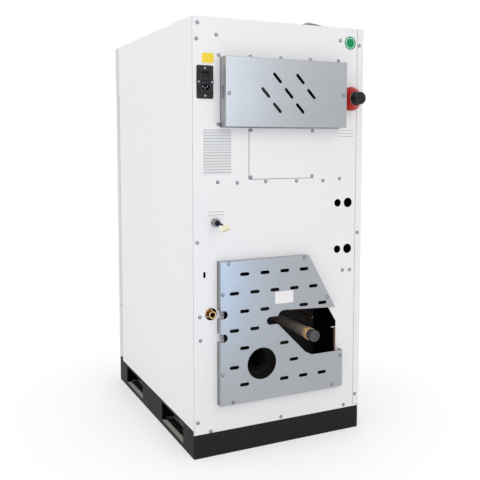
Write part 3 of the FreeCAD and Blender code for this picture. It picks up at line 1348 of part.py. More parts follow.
def flue_box():
    """Smoke collector on the jacket's rear wall, with the round inlet of the fan in its side."""
    wide = (FAN_X1, FAN_X1 + FLUE_BOX_WIDTH)
    deep = (JACKET_REAR, JACKET_REAR + FLUE_BOX_DEPTH)
    tall = around(FAN_Z - FLUE_BOX_DROP, FLUE_BOX_HEIGHT)
    wall = FAN_WALL
    body = rounded(box(wide, deep, tall), 3 * wall, along("z"))
    room = box((wide[0] + wall, wide[1] - wall), (deep[0], deep[1] - wall), (tall[0] + wall, tall[1] - wall))
    return less(body, room, rod_x(FAN_Y, FAN_Z, FAN_INLET_RADIUS, (wide[0], wide[0] + wall)))


def scroll(grow, x):
    """Fan scroll: quarter arcs that grow from the tongue round to the straight outlet duct."""
    low = FLUE_Z - FLUE_BORE_RADIUS - grow
    high = FLUE_Z + FLUE_BORE_RADIUS + grow
    end = SPIGOT_END - SPIGOT_LENGTH
    pieces = [box(x, (FAN_Y, end), (low, high))]
    for start, growth in ((180, 0), (270, 0), (0, 1), (90, 2)):
        radius = SCROLL_START + grow + SCROLL_GROWTH * growth
        wedge = Part.makeCylinder(radius, x[1] - x[0], V(x[0], FAN_Y, FAN_Z), V(1, 0, 0), 90)
        wedge.rotate(V(x[0], FAN_Y, FAN_Z), V(1, 0, 0), start)
        pieces.append(wedge)
    return join(*pieces)


def fan_housing():
    """Scroll housing: hollow, with the inlet in one cheek, the shaft hole in the other and an open duct."""
    wall = FAN_WALL
    outer = scroll(wall, (FAN_X0, FAN_X1))
    inner = scroll(0, (FAN_X0 + wall, FAN_X1 - wall))
    inlet = rod_x(FAN_Y, FAN_Z, FAN_INLET_RADIUS, (FAN_X1 - wall, FAN_X1))
    shaft = rod_x(FAN_Y, FAN_Z, FAN_SHAFT_RADIUS + RUNNING_FIT, (FAN_X0, FAN_X0 + wall))
    return less(outer, inner, inlet, shaft)


def fan_impeller():
    """Fan wheel: back disc, curved blades set round it, hub and shaft."""
    back = FAN_X0 + FAN_WALL + WHEEL_GAP
    disc = rod_x(FAN_Y, FAN_Z, FAN_RADIUS, (back, back + BLADE_THICKNESS))
    hub = rod_x(FAN_Y, FAN_Z, 3 * FAN_SHAFT_RADIUS, (back, back + WHEEL_WIDTH / 2))
    shaft = rod_x(FAN_Y, FAN_Z, FAN_SHAFT_RADIUS, (FAN_X0 - FAN_SHAFT_TAIL, back + WHEEL_WIDTH / 2))
    root = back + BLADE_THICKNESS / 2
    inner = V(root, FAN_Y + BLADE_INNER, FAN_Z)
    lean = math.radians(BLADE_LEAN)
    reach = FAN_RADIUS - 2 * BLADE_THICKNESS
    outer = V(root, FAN_Y + reach * math.cos(lean), FAN_Z + reach * math.sin(lean))
    chord = outer - inner
    side = V(0, -chord.z, chord.y).normalize()
    middle = (inner + outer) * 0.5 - side * BLADE_SAG
    lift = side * BLADE_THICKNESS
    edges = [
        Part.Arc(inner, middle, outer).toShape(),
        Part.LineSegment(outer, outer + lift).toShape(),
        Part.Arc(outer + lift, middle + lift, inner + lift).toShape(),
        Part.LineSegment(inner + lift, inner).toShape(),
    ]
    blade = Part.Face(Part.Wire(edges)).extrude(V(WHEEL_WIDTH, 0, 0))
    blades = []
    for i in range(BLADE_COUNT):
        copy = blade.copy()
        copy.rotate(V(back, FAN_Y, FAN_Z), V(1, 0, 0), 360 * i / BLADE_COUNT)
        blades.append(copy)
    return join(disc, hub, shaft, *blades)


def fan_motor():
    """Round motor can on the fan's free cheek, with a boss that carries the wheel's shaft."""
    mouth = FAN_X0
    can = (mouth - FAN_MOTOR_LENGTH, mouth - FAN_MOTOR_NECK)
    body = rod_x(FAN_Y, FAN_Z, FAN_MOTOR_RADIUS, can)
    body = bevelled(body, FAN_MOTOR_BEVEL, lambda e: e.Vertexes[0].X < can[1])
    boss = rod_x(FAN_Y, FAN_Z, FAN_MOTOR_RADIUS / 2, (can[1], mouth))
    bore = rod_x(FAN_Y, FAN_Z, FAN_SHAFT_RADIUS + RUNNING_FIT, (can[1], mouth))
    return less(join(body, boss), bore)


def flue_spigot():
    """Round socket for the flue pipe, flanged on the fan's outlet duct."""
    start = SPIGOT_END - SPIGOT_LENGTH
    outer = FLUE_BORE_RADIUS + FLUE_WALL
    collar = rod_y(FLUE_X, FLUE_Z, outer, (start, SPIGOT_END))
    side = FLUE_BORE_RADIUS + FAN_WALL
    flange = box((FLUE_X - side, FLUE_X + side), (start, start + FAN_WALL), (FLUE_Z - side, FLUE_Z + side))
    return less(join(collar, flange), rod_y(FLUE_X, FLUE_Z, FLUE_BORE_RADIUS, (start, SPIGOT_END)))


def water_pipe():
    """One-inch steel pipe from the jacket's rear wall to its union ring."""
    end = REAR + PIPE_END
    tube = rod_y(PIPE_X, PIPE_Z, PIPE_RADIUS, (JACKET_REAR, end))
    return less(tube, rod_y(PIPE_X, PIPE_Z, PIPE_BORE, (JACKET_REAR, end)))


def union_ring():
    """Brass union ring on the pipe's end."""
    start = REAR + PIPE_END
    end = start + RING_LENGTH
    edge = RING_RADIUS - RING_BEVEL
    profile = [(0, start), (edge, start), (RING_RADIUS, start + RING_BEVEL)]
    profile += [(RING_RADIUS, end - RING_BEVEL), (edge, end), (0, end)]
    ring = lathe_y(profile, PIPE_X, PIPE_Z)
    return less(ring, rod_y(PIPE_X, PIPE_Z, PIPE_BORE, (start, start + RING_LENGTH)))


def pipe_cap():
    """Protective cap with a dished end."""
    start = REAR + PIPE_END + RING_LENGTH
    end = start + CAP_LENGTH
    dish = CAP_RADIUS - CAP_RIM
    floor = end - CAP_DISH
    profile = [(0, start), (CAP_RADIUS, start), (CAP_RADIUS, end - CAP_BEVEL), (CAP_RADIUS - CAP_BEVEL, end)]
    profile += [(dish, end), (dish - CAP_DISH / 2, floor), (0, floor)]
    return lathe_y(profile, PIPE_X, PIPE_Z)


def drain_nipple():
    """Brass stub pipe with a hexagon just inside the rear panel."""
    end = REAR + NIPPLE_PROUD
    tube = rod_y(NIPPLE_X, NIPPLE_Z, NIPPLE_RADIUS, (JACKET_REAR, end))
    hex_y = (REAR - NIPPLE_HEX_DEPTH, REAR - NIPPLE_HEX_DEPTH + NIPPLE_HEX_LENGTH)
    collar = hexagon_y(NIPPLE_X, NIPPLE_Z, NIPPLE_HEX, hex_y)
    return less(join(tube, collar), rod_y(NIPPLE_X, NIPPLE_Z, NIPPLE_BORE, (JACKET_REAR, end)))


def temperature_probe():
    """Probe pocket on the jacket's rear wall with its rod."""
    z = DECK + PROBE_RISE
    nut_end = JACKET_REAR + PROBE_NUT
    nut = hexagon_y(PROBE_X, z, PROBE_HEX, (JACKET_REAR, nut_end))
    return join(nut, rod_y(PROBE_X, z, PROBE_RADIUS, (nut_end, JACKET_REAR + PROBE_LENGTH)))


def relief_pipe():
    """Riser from the jacket's rear wall to the safety valve's body, turned by a screwed elbow."""
    y = INNER_REAR - VALVE_LENGTH / 2 - VALVE_RADIUS
    top = VALVE_Z - VALVE_RADIUS
    low = RELIEF_Z
    wide = RELIEF_RADIUS + ELBOW_WALL
    riser = rod_z(VALVE_X, y, RELIEF_RADIUS, (low, top))
    run = rod_y(VALVE_X, low, RELIEF_RADIUS, (JACKET_REAR, y))
    up = rod_z(VALVE_X, y, wide, (low, low + 2 * wide))
    across = rod_y(VALVE_X, low, wide, (y - 2 * wide, y))
    return join(riser, run, up, across, Part.makeSphere(wide, V(VALVE_X, y, low)))


def relief_valve_body():
    """Brass valve body behind the panel, with the socket of its riser."""
    back = INNER_REAR - VALVE_LENGTH - VALVE_RADIUS
    y = INNER_REAR - VALVE_LENGTH / 2 - VALVE_RADIUS
    barrel = rod_y(VALVE_X, VALVE_Z, VALVE_RADIUS, (back, REAR))
    socket_low = VALVE_Z - VALVE_RADIUS - VALVE_SOCKET
    socket = rod_z(VALVE_X, y, RELIEF_RADIUS + VALVE_SOCKET_WALL, (socket_low, VALVE_Z))
    body = join(barrel, socket)
    seat = rod_z(VALVE_X, y, RELIEF_RADIUS + RUNNING_FIT, (socket_low, VALVE_Z - VALVE_RADIUS))
    return less(body, seat)


def relief_bonnet():
    """Fluted red bonnet with a collar and the stem that carries the knob."""
    neck = BONNET_FRONT
    collar = neck + COLLAR_LENGTH
    profile = [(0, REAR), (BONNET_RADIUS, REAR), (BONNET_RADIUS, REAR + BONNET_SKIRT)]
    profile += [(BONNET_NECK, neck), (COLLAR_RADIUS, neck), (COLLAR_RADIUS, collar), (STEM_RADIUS, collar)]
    profile += [(STEM_RADIUS, collar + STEM_LENGTH), (0, collar + STEM_LENGTH)]
    body = lathe_y(profile, VALVE_X, VALVE_Z)
    flutes = []
    for i in range(FLUTE_COUNT):
        turn = 2 * math.pi * i / FLUTE_COUNT
        reach = BONNET_RADIUS + FLUTE_RADIUS * 0.45
        place = (VALVE_X + reach * math.cos(turn), VALVE_Z + reach * math.sin(turn))
        flutes.append(rod_y(*place, FLUTE_RADIUS, (REAR + BONNET_SKIRT / 3, neck)))
    return less(body, *flutes)


def relief_knob():
    """Black twist knob on the bonnet's stem."""
    front = KNOB_BACK + KNOB_LENGTH
    soft = 0.3 * KNOB_BEVEL
    profile = [(0, KNOB_BACK), (KNOB_RADIUS, KNOB_BACK), (KNOB_RADIUS, front - KNOB_BEVEL)]
    profile += [(KNOB_RADIUS - soft, front - soft), (KNOB_RADIUS - KNOB_BEVEL, front), (0, front)]
    body = lathe_y(profile, VALVE_X, VALVE_Z)
    reach = BONNET_FRONT + COLLAR_LENGTH + STEM_LENGTH + SEAM
    return less(body, rod_y(VALVE_X, VALVE_Z, STEM_RADIUS + RUNNING_FIT, (KNOB_BACK, reach)))


def inlet_plate():
    """Black adapter plate behind the power inlet."""
    deep = (REAR, INLET_FACE)
    plate = box(around(INLET_X, INLET_PLATE_WIDTH), deep, around(INLET_Z, INLET_PLATE_HEIGHT))
    plate = rounded(plate, INLET_CORNER, along("y"))
    hole_x = around(INLET_X, MODULE_WIDTH + 2 * SEAM)
    return less(plate, box(hole_x, deep, around(INLET_Z, MODULE_HEIGHT + 2 * SEAM)))


def socket_outline():
    """Corners of the inlet socket, cut off at the earth pin's side."""
    half = SOCKET_WIDTH / 2
    low = SOCKET_Z - SOCKET_HEIGHT / 2
    high = SOCKET_Z + SOCKET_HEIGHT / 2
    cut = SOCKET_CHAMFER
    points = [(-half, high), (half, high), (half, low + cut)]
    points += [(half - cut, low), (cut - half, low), (-half, low + cut)]
    return [(INLET_X + x, z) for x, z in points]


def power_inlet():
    """Inlet module: flange with screw ears, body, socket, and the pocket that carries the rocker."""
    ear = MODULE_EAR_WIDTH / 2
    half = MODULE_WIDTH / 2 + MODULE_LIP
    tall = MODULE_HEIGHT / 2 + 2 * MODULE_LIP
    waist = MODULE_WAIST
    outline = [(-half, tall), (half, tall), (ear, waist), (ear, -waist)]
    outline += [(-x, -z) for x, z in outline]
    flange = slab_y([(INLET_X + x, INLET_Z + z) for x, z in outline], (INLET_FACE, MODULE_FACE))
    body_y = (INLET_FACE - MODULE_DEPTH, MODULE_FACE)
    body = join(flange, box(around(INLET_X, MODULE_WIDTH), body_y, around(INLET_Z, MODULE_HEIGHT)))
    socket = slab_y(socket_outline(), (SOCKET_FLOOR, MODULE_FACE))
    swing = math.hypot(ROCKER_HEIGHT / 2, ROCKER_PROUD - ROCKER_DISH) + ROCKER_GAP
    pocket_z = around(ROCKER_Z, 2 * max(swing, ROCKER_BARREL + ROCKER_GAP))
    pocket_y = (ROCKER_Y - ROCKER_BARREL - ROCKER_GAP, MODULE_FACE)
    pocket = box(around(INLET_X, ROCKER_WIDTH + 2 * ROCKER_GAP), pocket_y, pocket_z)
    reach = ROCKER_WIDTH + 2 * ROCKER_PIN + 2 * SEAM
    pins = rod_x(ROCKER_Y, ROCKER_Z, ROCKER_PIN_RADIUS + RUNNING_FIT, around(INLET_X, reach))
    return less(body, socket, pocket, pins)


def inlet_pins():
    """Three flat contact blades that stand on the socket's floor."""
    deep = (SOCKET_FLOOR, SOCKET_FLOOR + BLADE_LENGTH)
    blades = []
    side = BLADE_SPREAD / 2
    rise = EARTH_DROP / 2
    for x, z in ((-side, rise), (side, rise), (0, -rise)):
        blades.append(box(around(INLET_X + x, BLADE_WIDTH), deep, around(SOCKET_Z + z, BLADE_HEIGHT)))
    return Part.makeCompound(blades)


def rocker_switch():
    """Rocker with a dished face, a round back and two pivot stubs, tilted to its off side."""
    half = ROCKER_HEIGHT / 2
    wide = around(INLET_X, ROCKER_WIDTH)
    edge = ROCKER_PROUD - ROCKER_DISH
    proud = ROCKER_Y + edge
    face = [(ROCKER_Y, ROCKER_Z - half), (proud, ROCKER_Z - half), (proud - ROCKER_DISH, ROCKER_Z)]
    face += [(proud, ROCKER_Z + half), (ROCKER_Y, ROCKER_Z + half)]
    barrel = rod_x(ROCKER_Y, ROCKER_Z, ROCKER_BARREL, wide)
    keep = box(wide, (ROCKER_Y - ROCKER_BARREL, ROCKER_Y), around(ROCKER_Z, ROCKER_HEIGHT))
    body = join(slab_x(face, wide), barrel.common(keep))
    stubs = rod_x(ROCKER_Y, ROCKER_Z, ROCKER_PIN_RADIUS, around(INLET_X, ROCKER_WIDTH + 2 * ROCKER_PIN))
    body = join(body, stubs)
    body.rotate(V(INLET_X, ROCKER_Y, ROCKER_Z), V(1, 0, 0), -ROCKER_TILT)
    return body


def cable_gland():
    """Metal cable gland: hexagon flange, domed nut and threaded tail through the panel."""
    flange = hexagon_y(GLAND_X, GLAND_Z, GLAND_RADIUS, (REAR, REAR + GLAND_FLANGE))
    shoulder = REAR + GLAND_FLANGE
    dome = rod_y(GLAND_X, GLAND_Z, GLAND_DOME_RADIUS + GLAND_SHOULDER, (shoulder, REAR + GLAND_LENGTH))
    dome = bevelled(dome, GLAND_BEVEL, lambda e: e.Vertexes[0].Y > shoulder + GLAND_BEVEL)
    tail = rod_y(GLAND_X, GLAND_Z, GLAND_DOME_RADIUS - SEAM, (REAR - GLAND_TAIL, REAR))
    return join(flange, dome, tail)


def gland_seal():
    """Rubber sleeve that the lead leaves the gland through."""
    start = REAR + GLAND_LENGTH
    profile = [(0, start), (GLAND_SEAL_RADIUS, start), (GLAND_SEAL_RADIUS * 0.7, LEAD_START), (0, LEAD_START)]
    return lathe_y(profile, GLAND_X, GLAND_Z)


def lead_points():
    """Route of the lead, from the gland's sleeve to the connector."""
    start = V(GLAND_X, LEAD_START, GLAND_Z)
    return [start] + [start + V(*step) for step in LEAD_STEPS]


def probe_cable():
    """Short lead on straight runs joined by tangent arcs as large as the runs allow."""
    points = lead_points()
    edges = []
    here = points[0]
    for before, corner, after in zip(points, points[1:], points[2:]):
        into = (corner - before).normalize()
        out = (after - corner).normalize()
        turn = into.getAngle(out)
        shorter = min((corner - before).Length, (after - corner).Length)
        trim = 0.45 * shorter
        radius = trim / math.tan(turn / 2)
        print("lead bend radius", round(radius, 1))
        first = corner - into * trim
        last = corner + out * trim
        inward = (out - into).normalize()
        top = corner + inward * (radius / math.cos(turn / 2) - radius)
        edges.append(Part.LineSegment(here, first).toShape())
        edges.append(Part.Arc(first, top, last).toShape())
        here = last
    edges.append(Part.LineSegment(here, points[-1]).toShape())
    path = Part.Wire(edges)
    heading = points[1] - points[0]
    section = Part.Wire(Part.makeCircle(LEAD_RADIUS, points[0], heading))
    lead = path.makePipeShell([section], True, False)
    print("lead volume ratio", round(lead.Volume / (math.pi * LEAD_RADIUS ** 2 * path.Length), 4))
    return lead


def probe_connector():
    """Ribbed connector block on the end of the lead, in line with its last run."""
    points = lead_points()
    heading = (points[-1] - points[-2]).normalize()
    half_x = CONNECTOR_WIDTH / 2
    half_y = CONNECTOR_THICKNESS / 2
    block = box((-half_x, half_x), (-half_y, half_y), (0, CONNECTOR_LENGTH))
    block = rounded(block, CONNECTOR_CORNER, along("z"))
    pitch = CONNECTOR_WIDTH / (CONNECTOR_RIBS + 1)
    groove_y = (-half_y, CONNECTOR_RIB - half_y)
    pocket_z = (CONNECTOR_LENGTH - CONNECTOR_POCKET, CONNECTOR_LENGTH)
    grooves = []
    for i in range(CONNECTOR_RIBS):
        x = (i - (CONNECTOR_RIBS - 1) / 2) * pitch
        grooves.append(box(around(x, CONNECTOR_RIB), groove_y, (CONNECTOR_LENGTH / 3, CONNECTOR_LENGTH)))
        grooves.append(box(around(x, pitch * 0.6), around(0, half_y), pocket_z))
    block = less(block, *grooves)
    side = V(1, 0, 0) - heading * heading.x
    side = FreeCAD.Rotation(heading, CONNECTOR_ROLL).multVec(side)
    place = FreeCAD.Placement(points[-1], FreeCAD.Rotation(side, V(0, 0, 0), heading, "ZXY"))
    block.Placement = place
    return block


def control_board():
    """Circuit board on standoffs from the side sheet, with transformer, relays and terminals."""
    x = HALF - SHEET - BOARD_STANDOFF
    y = (REAR - BOARD_SETBACK - BOARD_LENGTH, REAR - BOARD_SETBACK)
    z = (TOP - BOARD_DROP - BOARD_HEIGHT, TOP - BOARD_DROP)
    board = box((x - BOARD_THICKNESS, x), y, z)
    face = x - BOARD_THICKNESS
    edge = BOARD_EDGE
    pieces = [board]
    for post_y in (y[0] + edge, y[1] - edge):
        for post_z in (z[0] + edge, z[1] - edge):
            pieces.append(rod_x(post_y, post_z, SPACER_RADIUS, (x, HALF - SHEET)))
    core_y = y[0] + 2 * edge
    core_z = (z[0] + 2 * edge, z[0] + 2 * edge + TRANSFORMER_HEIGHT)
    pieces.append(box((face - TRANSFORMER_DEPTH, face), (core_y, core_y + TRANSFORMER_LENGTH), core_z))
    first = core_y + TRANSFORMER_LENGTH + 2 * edge
    relay_z = (z[0] + 3 * edge, z[0] + 3 * edge + RELAY_HEIGHT)
    for i in range(RELAY_COUNT):
        near = first + RELAY_PITCH * i
        middle = near + RELAY_LENGTH / 2
        pieces.append(box((face - RELAY_LENGTH, face), (near, near + RELAY_LENGTH), relay_z))
        pieces.append(rod_x(middle, z[0] + CAPACITOR_RISE, CAPACITOR_RADIUS, (face - CAPACITOR_LENGTH, face)))
    strip_z = (z[1] - TERMINAL_DROP - TERMINAL_HEIGHT, z[1] - TERMINAL_DROP)
    pieces.append(box((face - TERMINAL_DEPTH, face), (y[0] + 1.5 * edge, y[1] - 1.5 * edge), strip_z))
    chip_y = y[0] + 3 * edge
    chip_z = (z[0] + CHIP_RISE, z[0] + CHIP_RISE + CHIP_SIZE)
    pieces.append(box((face - CHIP_DEPTH, face), (chip_y, chip_y + CHIP_SIZE), chip_z))
    return join(*pieces)


PIECES = {
    "plinth": plinth,
    "rear_frame": rear_frame,
    "front_frame": front_frame,
    "side_panel_left": side_panel_left,
    "side_panel_right": side_panel_right,
    "top_panel": top_panel,
    "rear_panel": rear_panel,
    "inspection_plate": inspection_plate,
    "cover_spacers": cover_spacers,
    "upper_cover": upper_cover,
    "lower_cover": lower_cover,
    "control_fascia": control_fascia,
    "display_window": display_window,
    "button_up": lambda: button(-BUTTON_PITCH),
    "button_down": lambda: button(0),
    "button_power": lambda: button(BUTTON_PITCH),
    "front_door": front_door,
    "door_pivots": door_pivots,
    "door_inner": door_inner,
    "door_seal": door_seal,
    "door_handle": door_handle,
    "drawer_front": drawer_front,
    "ash_drawer": ash_drawer,
    "boiler_jacket": boiler_jacket,
    "furnace": furnace,
    "ash_bay": ash_bay,
    "boiler_insulation": boiler_insulation,
    "burner_base": burner_base,
    "burner_pot": burner_pot,
    "igniter": igniter,
    "flame_baffle": flame_baffle,
    "hopper": hopper,
    "auger_tube": auger_tube,
    "auger_screw": auger_screw,
    "auger_gearmotor": auger_gearmotor,
    "hopper_lid": hopper_lid,
    "lid_hinges": lid_hinges,
    "flue_box": flue_box,
    "fan_housing": fan_housing,
    "fan_impeller": fan_impeller,
    "fan_motor": fan_motor,
    "flue_spigot": flue_spigot,
    "water_pipe": water_pipe,
    "union_ring": union_ring,
    "pipe_cap": pipe_cap,
    "drain_nipple": drain_nipple,
    "temperature_probe": temperature_probe,
    "relief_pipe": relief_pipe,
    "relief_valve_body": relief_valve_body,
    "relief_bonnet": relief_bonnet,
    "relief_knob": relief_knob,
    "inlet_plate": inlet_plate,
    "power_inlet": power_inlet,
    "inlet_pins": inlet_pins,
    "rocker_switch": rocker_switch,
    "cable_gland": cable_gland,
    "gland_seal": gland_seal,
    "probe_cable": probe_cable,
    "probe_connector": probe_connector,
    "control_board": control_board,
}

os.makedirs("parts", exist_ok=True)
for name, make in PIECES.items():
    shape = make()
    shape.exportStep("parts/" + name + ".step")
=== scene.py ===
"""Finishes, small fittings, light and camera for a free-standing pellet boiler.

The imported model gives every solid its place. This script dresses those solids, adds what is too small
or too soft for them (screw heads, blank stickers, the probe's lead, the door's rope seal, the wool round
the boiler) and sets up a plain studio with the photograph's camera. Lengths are in metres, and MM turns
a maker's millimetres into them.
"""

import json
import logging
import math
from dataclasses import dataclass, field
from enum import Enum

import bmesh
import bpy
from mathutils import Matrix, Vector, noise

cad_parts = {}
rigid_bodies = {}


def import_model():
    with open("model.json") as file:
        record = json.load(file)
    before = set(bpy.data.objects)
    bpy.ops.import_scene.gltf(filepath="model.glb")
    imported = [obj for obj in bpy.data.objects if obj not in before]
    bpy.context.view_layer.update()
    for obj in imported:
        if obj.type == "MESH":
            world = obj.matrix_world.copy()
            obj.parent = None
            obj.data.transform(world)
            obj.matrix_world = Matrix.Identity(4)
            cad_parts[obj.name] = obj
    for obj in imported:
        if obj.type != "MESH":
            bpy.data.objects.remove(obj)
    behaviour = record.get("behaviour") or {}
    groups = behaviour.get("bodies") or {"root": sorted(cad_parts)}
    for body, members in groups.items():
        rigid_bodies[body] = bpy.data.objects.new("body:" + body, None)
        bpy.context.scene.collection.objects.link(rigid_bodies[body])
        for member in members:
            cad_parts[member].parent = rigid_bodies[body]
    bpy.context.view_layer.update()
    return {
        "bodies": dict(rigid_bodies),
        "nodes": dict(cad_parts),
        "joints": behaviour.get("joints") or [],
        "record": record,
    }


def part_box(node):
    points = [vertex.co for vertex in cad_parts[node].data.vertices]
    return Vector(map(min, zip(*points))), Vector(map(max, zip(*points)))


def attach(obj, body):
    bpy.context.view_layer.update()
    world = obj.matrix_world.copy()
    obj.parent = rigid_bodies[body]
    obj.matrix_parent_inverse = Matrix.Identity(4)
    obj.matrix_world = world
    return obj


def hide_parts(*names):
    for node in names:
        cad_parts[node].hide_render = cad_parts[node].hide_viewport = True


Socket = bpy.types.NodeSocket

LOG = logging.getLogger("boiler")
MM = 0.001
# Start of the chance that turns the screw heads.
SEED = 11
BUMP_STRENGTH = 0.6
SHARP_ANGLE = math.radians(32)
# A wave texture repeats every tenth of pi, and a brick texture has four rows to a unit.
WAVE_REPEAT = math.pi / 10
BRICK_ROW = 0.25


class Body(Enum):
    """The moving bodies that added pieces ride on."""

    CASING = "casing"
    DOOR = "front_door"


class Slot(Enum):
    """Names of the record's material slots, passed along with added pieces."""

    STEEL = "screw_steel"
    RUBBER = "cable_rubber"
    PLASTIC = "grey_plastic"
    PAINT = "white_paint"
    ROPE = "rope"
    WOOL = "wool"


class Outline(Enum):
    """How a sticker is cut."""

    PLATE = "rectangle with round corners"
    DISC = "circle"


def linear(code: str) -> tuple[float, float, float, float]:
    """Turns an sRGB hex value into linear colour.

    Args:
        code: colour such as "#EBEBEC".

    Returns:
        Linear red, green, blue and an alpha of 1.
    """
    channels = [int(code[i:i + 2], 16) / 255 for i in (1, 3, 5)]
    return (*[c / 12.92 if c <= 0.04045 else ((c + 0.055) / 1.055) ** 2.4 for c in channels], 1.0)


def per_metre(size_mm: float) -> float:
    """Gives the texture scale whose features are about size_mm across."""
    return 1000.0 / size_mm


def add_node(tree: bpy.types.NodeTree, kind: str, settings: dict | None = None,
             links: dict | None = None) -> bpy.types.Node:
    """Adds one node to a material, the world or a Geometry Nodes tree.

    Args:
        tree: the tree that gets the node.
        kind: Blender's name for the node.
        settings: values by input name or index, or by one of the node's own properties.
        links: output sockets by the name or index of the input that they feed.

    Returns:
        The new node.
    """
    node = tree.nodes.new(kind)
    for key, value in (settings or {}).items():
        if isinstance(key, str) and key not in node.inputs:
            setattr(node, key, value)
        else:
            node.inputs[key].default_value = value
    for key, source in (links or {}).items():
        tree.links.new(source, node.inputs[key])
    return node


@dataclass(frozen=True)
class Finish:
    """A surface, named for its material and how it was made.

    Attributes:
        name: the material's name.
        colour: main tone, sRGB hex.
        shade: tone that the pattern brings in.
        rough: roughness at the pattern's low and high end.
        metallic: 0 for paint and plastic, 1 for bare metal.
        depth_mm: height of the relief that the bump draws.
        extras: further values on the shader's own sockets.
    """

    name: str
    colour: str
    shade: str
    rough: tuple[float, float] = (0.4, 0.5)
    metallic: float = 0.0
    depth_mm: float = 0.1
    extras: tuple[tuple[str, float], ...] = ()

    def pattern(self, tree: bpy.types.NodeTree, place: Socket) -> tuple[Socket, Socket]:
        """Draws the surface's own pattern.

        Args:
            tree: the material's tree.
            place: Object coordinates.

        Returns:
            Sockets for the tone and the height, both from 0 to 1.
        """
        raise NotImplementedError

    def build(self) -> bpy.types.Material:
        """Makes the material.

        Returns:
            The material, with tone, roughness and bump from the pattern.
        """
        material = bpy.data.materials.new(self.name)
        material.use_nodes = True
        tree = material.node_tree
        tree.nodes.clear()
        place = add_node(tree, "ShaderNodeTexCoord").outputs["Object"]
        tone, height = self.pattern(tree, place)
        # Inputs 6 and 7 of a Mix node for colours are its two colours.
        tones = {"data_type": "RGBA", 6: linear(self.colour), 7: linear(self.shade)}
        colour = add_node(tree, "ShaderNodeMix", tones, {0: tone})
        ends = {"To Min": self.rough[0], "To Max": self.rough[1]}
        rough = add_node(tree, "ShaderNodeMapRange", ends, {"Value": tone})
        relief = {"Strength": BUMP_STRENGTH, "Distance": self.depth_mm * MM}
        bump = add_node(tree, "ShaderNodeBump", relief, {"Height": height})
        fed = {"Base Color": colour.outputs[2], "Roughness": rough.outputs[0], "Normal": bump.outputs[0]}
        values = {"Metallic": self.metallic, **dict(self.extras)}
        shader = add_node(tree, "ShaderNodeBsdfPrincipled", values, fed)
        add_node(tree, "ShaderNodeOutputMaterial", None, {"Surface": shader.outputs[0]})
        return material


@dataclass(frozen=True)
class PowderCoat(Finish):
    """Polyester powder coat on sheet: one even tone, and a peel that softens every reflection.

    The real peel is 1 to 2 mm, too fine to show, so it is drawn at peel_mm.

    Attributes:
        peel_mm: size of the peel.
        drift_mm: size of the slow drift of tone.
    """

    peel_mm: float = 5.0
    drift_mm: float = 420.0

    def pattern(self, tree: bpy.types.NodeTree, place: Socket) -> tuple[Socket, Socket]:
        """Draws a slow drift of tone and the peel of the baked powder."""
        drift = add_node(tree, "ShaderNodeTexNoise", {"Scale": per_metre(self.drift_mm)}, {"Vector": place})
        fine = {"Scale": per_metre(self.peel_mm), "Detail": 3.0}
        peel = add_node(tree, "ShaderNodeTexNoise", fine, {"Vector": place})
        return drift.outputs[0], peel.outputs[0]


@dataclass(frozen=True)
class ZincSheet(Finish):
    """Hot-dip galvanised sheet: pale grey metal with a fine spangle and cloudy patches.

    Attributes:
        spangle_mm: size of a zinc crystal.
        cloud_mm: size of the cloudy patches.
        spangle_part: how much of the tone comes from the crystals.
    """

    spangle_mm: float = 8.0
    cloud_mm: float = 190.0
    spangle_part: float = 0.22

    def pattern(self, tree: bpy.types.NodeTree, place: Socket) -> tuple[Socket, Socket]:
        """Draws zinc crystals over slow clouds of tone."""
        crystals = {"Scale": per_metre(self.spangle_mm)}
        flakes = add_node(tree, "ShaderNodeTexVoronoi", crystals, {"Vector": place})
        slow = {"Scale": per_metre(self.cloud_mm), "Detail": 4.0}
        clouds = add_node(tree, "ShaderNodeTexNoise", slow, {"Vector": place})
        both = {2: clouds.outputs[0], 3: flakes.outputs["Color"]}
        tone = add_node(tree, "ShaderNodeMix", {0: self.spangle_part}, both)
        return tone.outputs[0], flakes.outputs["Color"]


@dataclass(frozen=True)
class TurnedMetal(Finish):
    """Metal turned on a lathe about Y: fine rings along the axis and a dull patina between them.

    Real tool marks are 0.2 mm apart, so they are drawn at ring_mm to show.

    Attributes:
        ring_mm: distance between two rings.
        patina_mm: size of the patina's patches.
    """

    ring_mm: float = 1.6
    patina_mm: float = 14.0

    def pattern(self, tree: bpy.types.NodeTree, place: Socket) -> tuple[Socket, Socket]:
        """Draws the patina's patches and the tool's rings."""
        patches = {"Scale": per_metre(self.patina_mm), "Detail": 5.0}
        patina = add_node(tree, "ShaderNodeTexNoise", patches, {"Vector": place})
        marks = {"bands_direction": "Y", "Scale": per_metre(self.ring_mm) * WAVE_REPEAT, "Distortion": 0.4}
        rings = add_node(tree, "ShaderNodeTexWave", marks, {"Vector": place})
        return patina.outputs[0], rings.outputs["Fac"]


@dataclass(frozen=True)
class RolledSteel(Finish):
    """Rolled or drawn steel with mill scale: dark streaks along the rolling direction.

    Attributes:
        streak_mm: width of a streak.
        tooth_mm: size of the fine tooth.
        stretch: the streaks' scale along X, Y and Z, least along the rolling direction.
    """

    streak_mm: float = 7.0
    tooth_mm: float = 2.0
    stretch: tuple[float, float, float] = (1.0, 0.12, 1.0)

    def pattern(self, tree: bpy.types.NodeTree, place: Socket) -> tuple[Socket, Socket]:
        """Draws long streaks of scale and a fine tooth."""
        drawn = add_node(tree, "ShaderNodeMapping", {"Scale": self.stretch}, {"Vector": place})
        settings = {"Scale": per_metre(self.streak_mm), "Detail": 6.0, "Roughness": 0.65}
        streaks = add_node(tree, "ShaderNodeTexNoise", settings, {"Vector": drawn.outputs[0]})
        fine = {"Scale": per_metre(self.tooth_mm), "Detail": 3.0}
        tooth = add_node(tree, "ShaderNodeTexNoise", fine, {"Vector": place})
        return streaks.outputs[0], tooth.outputs[0]


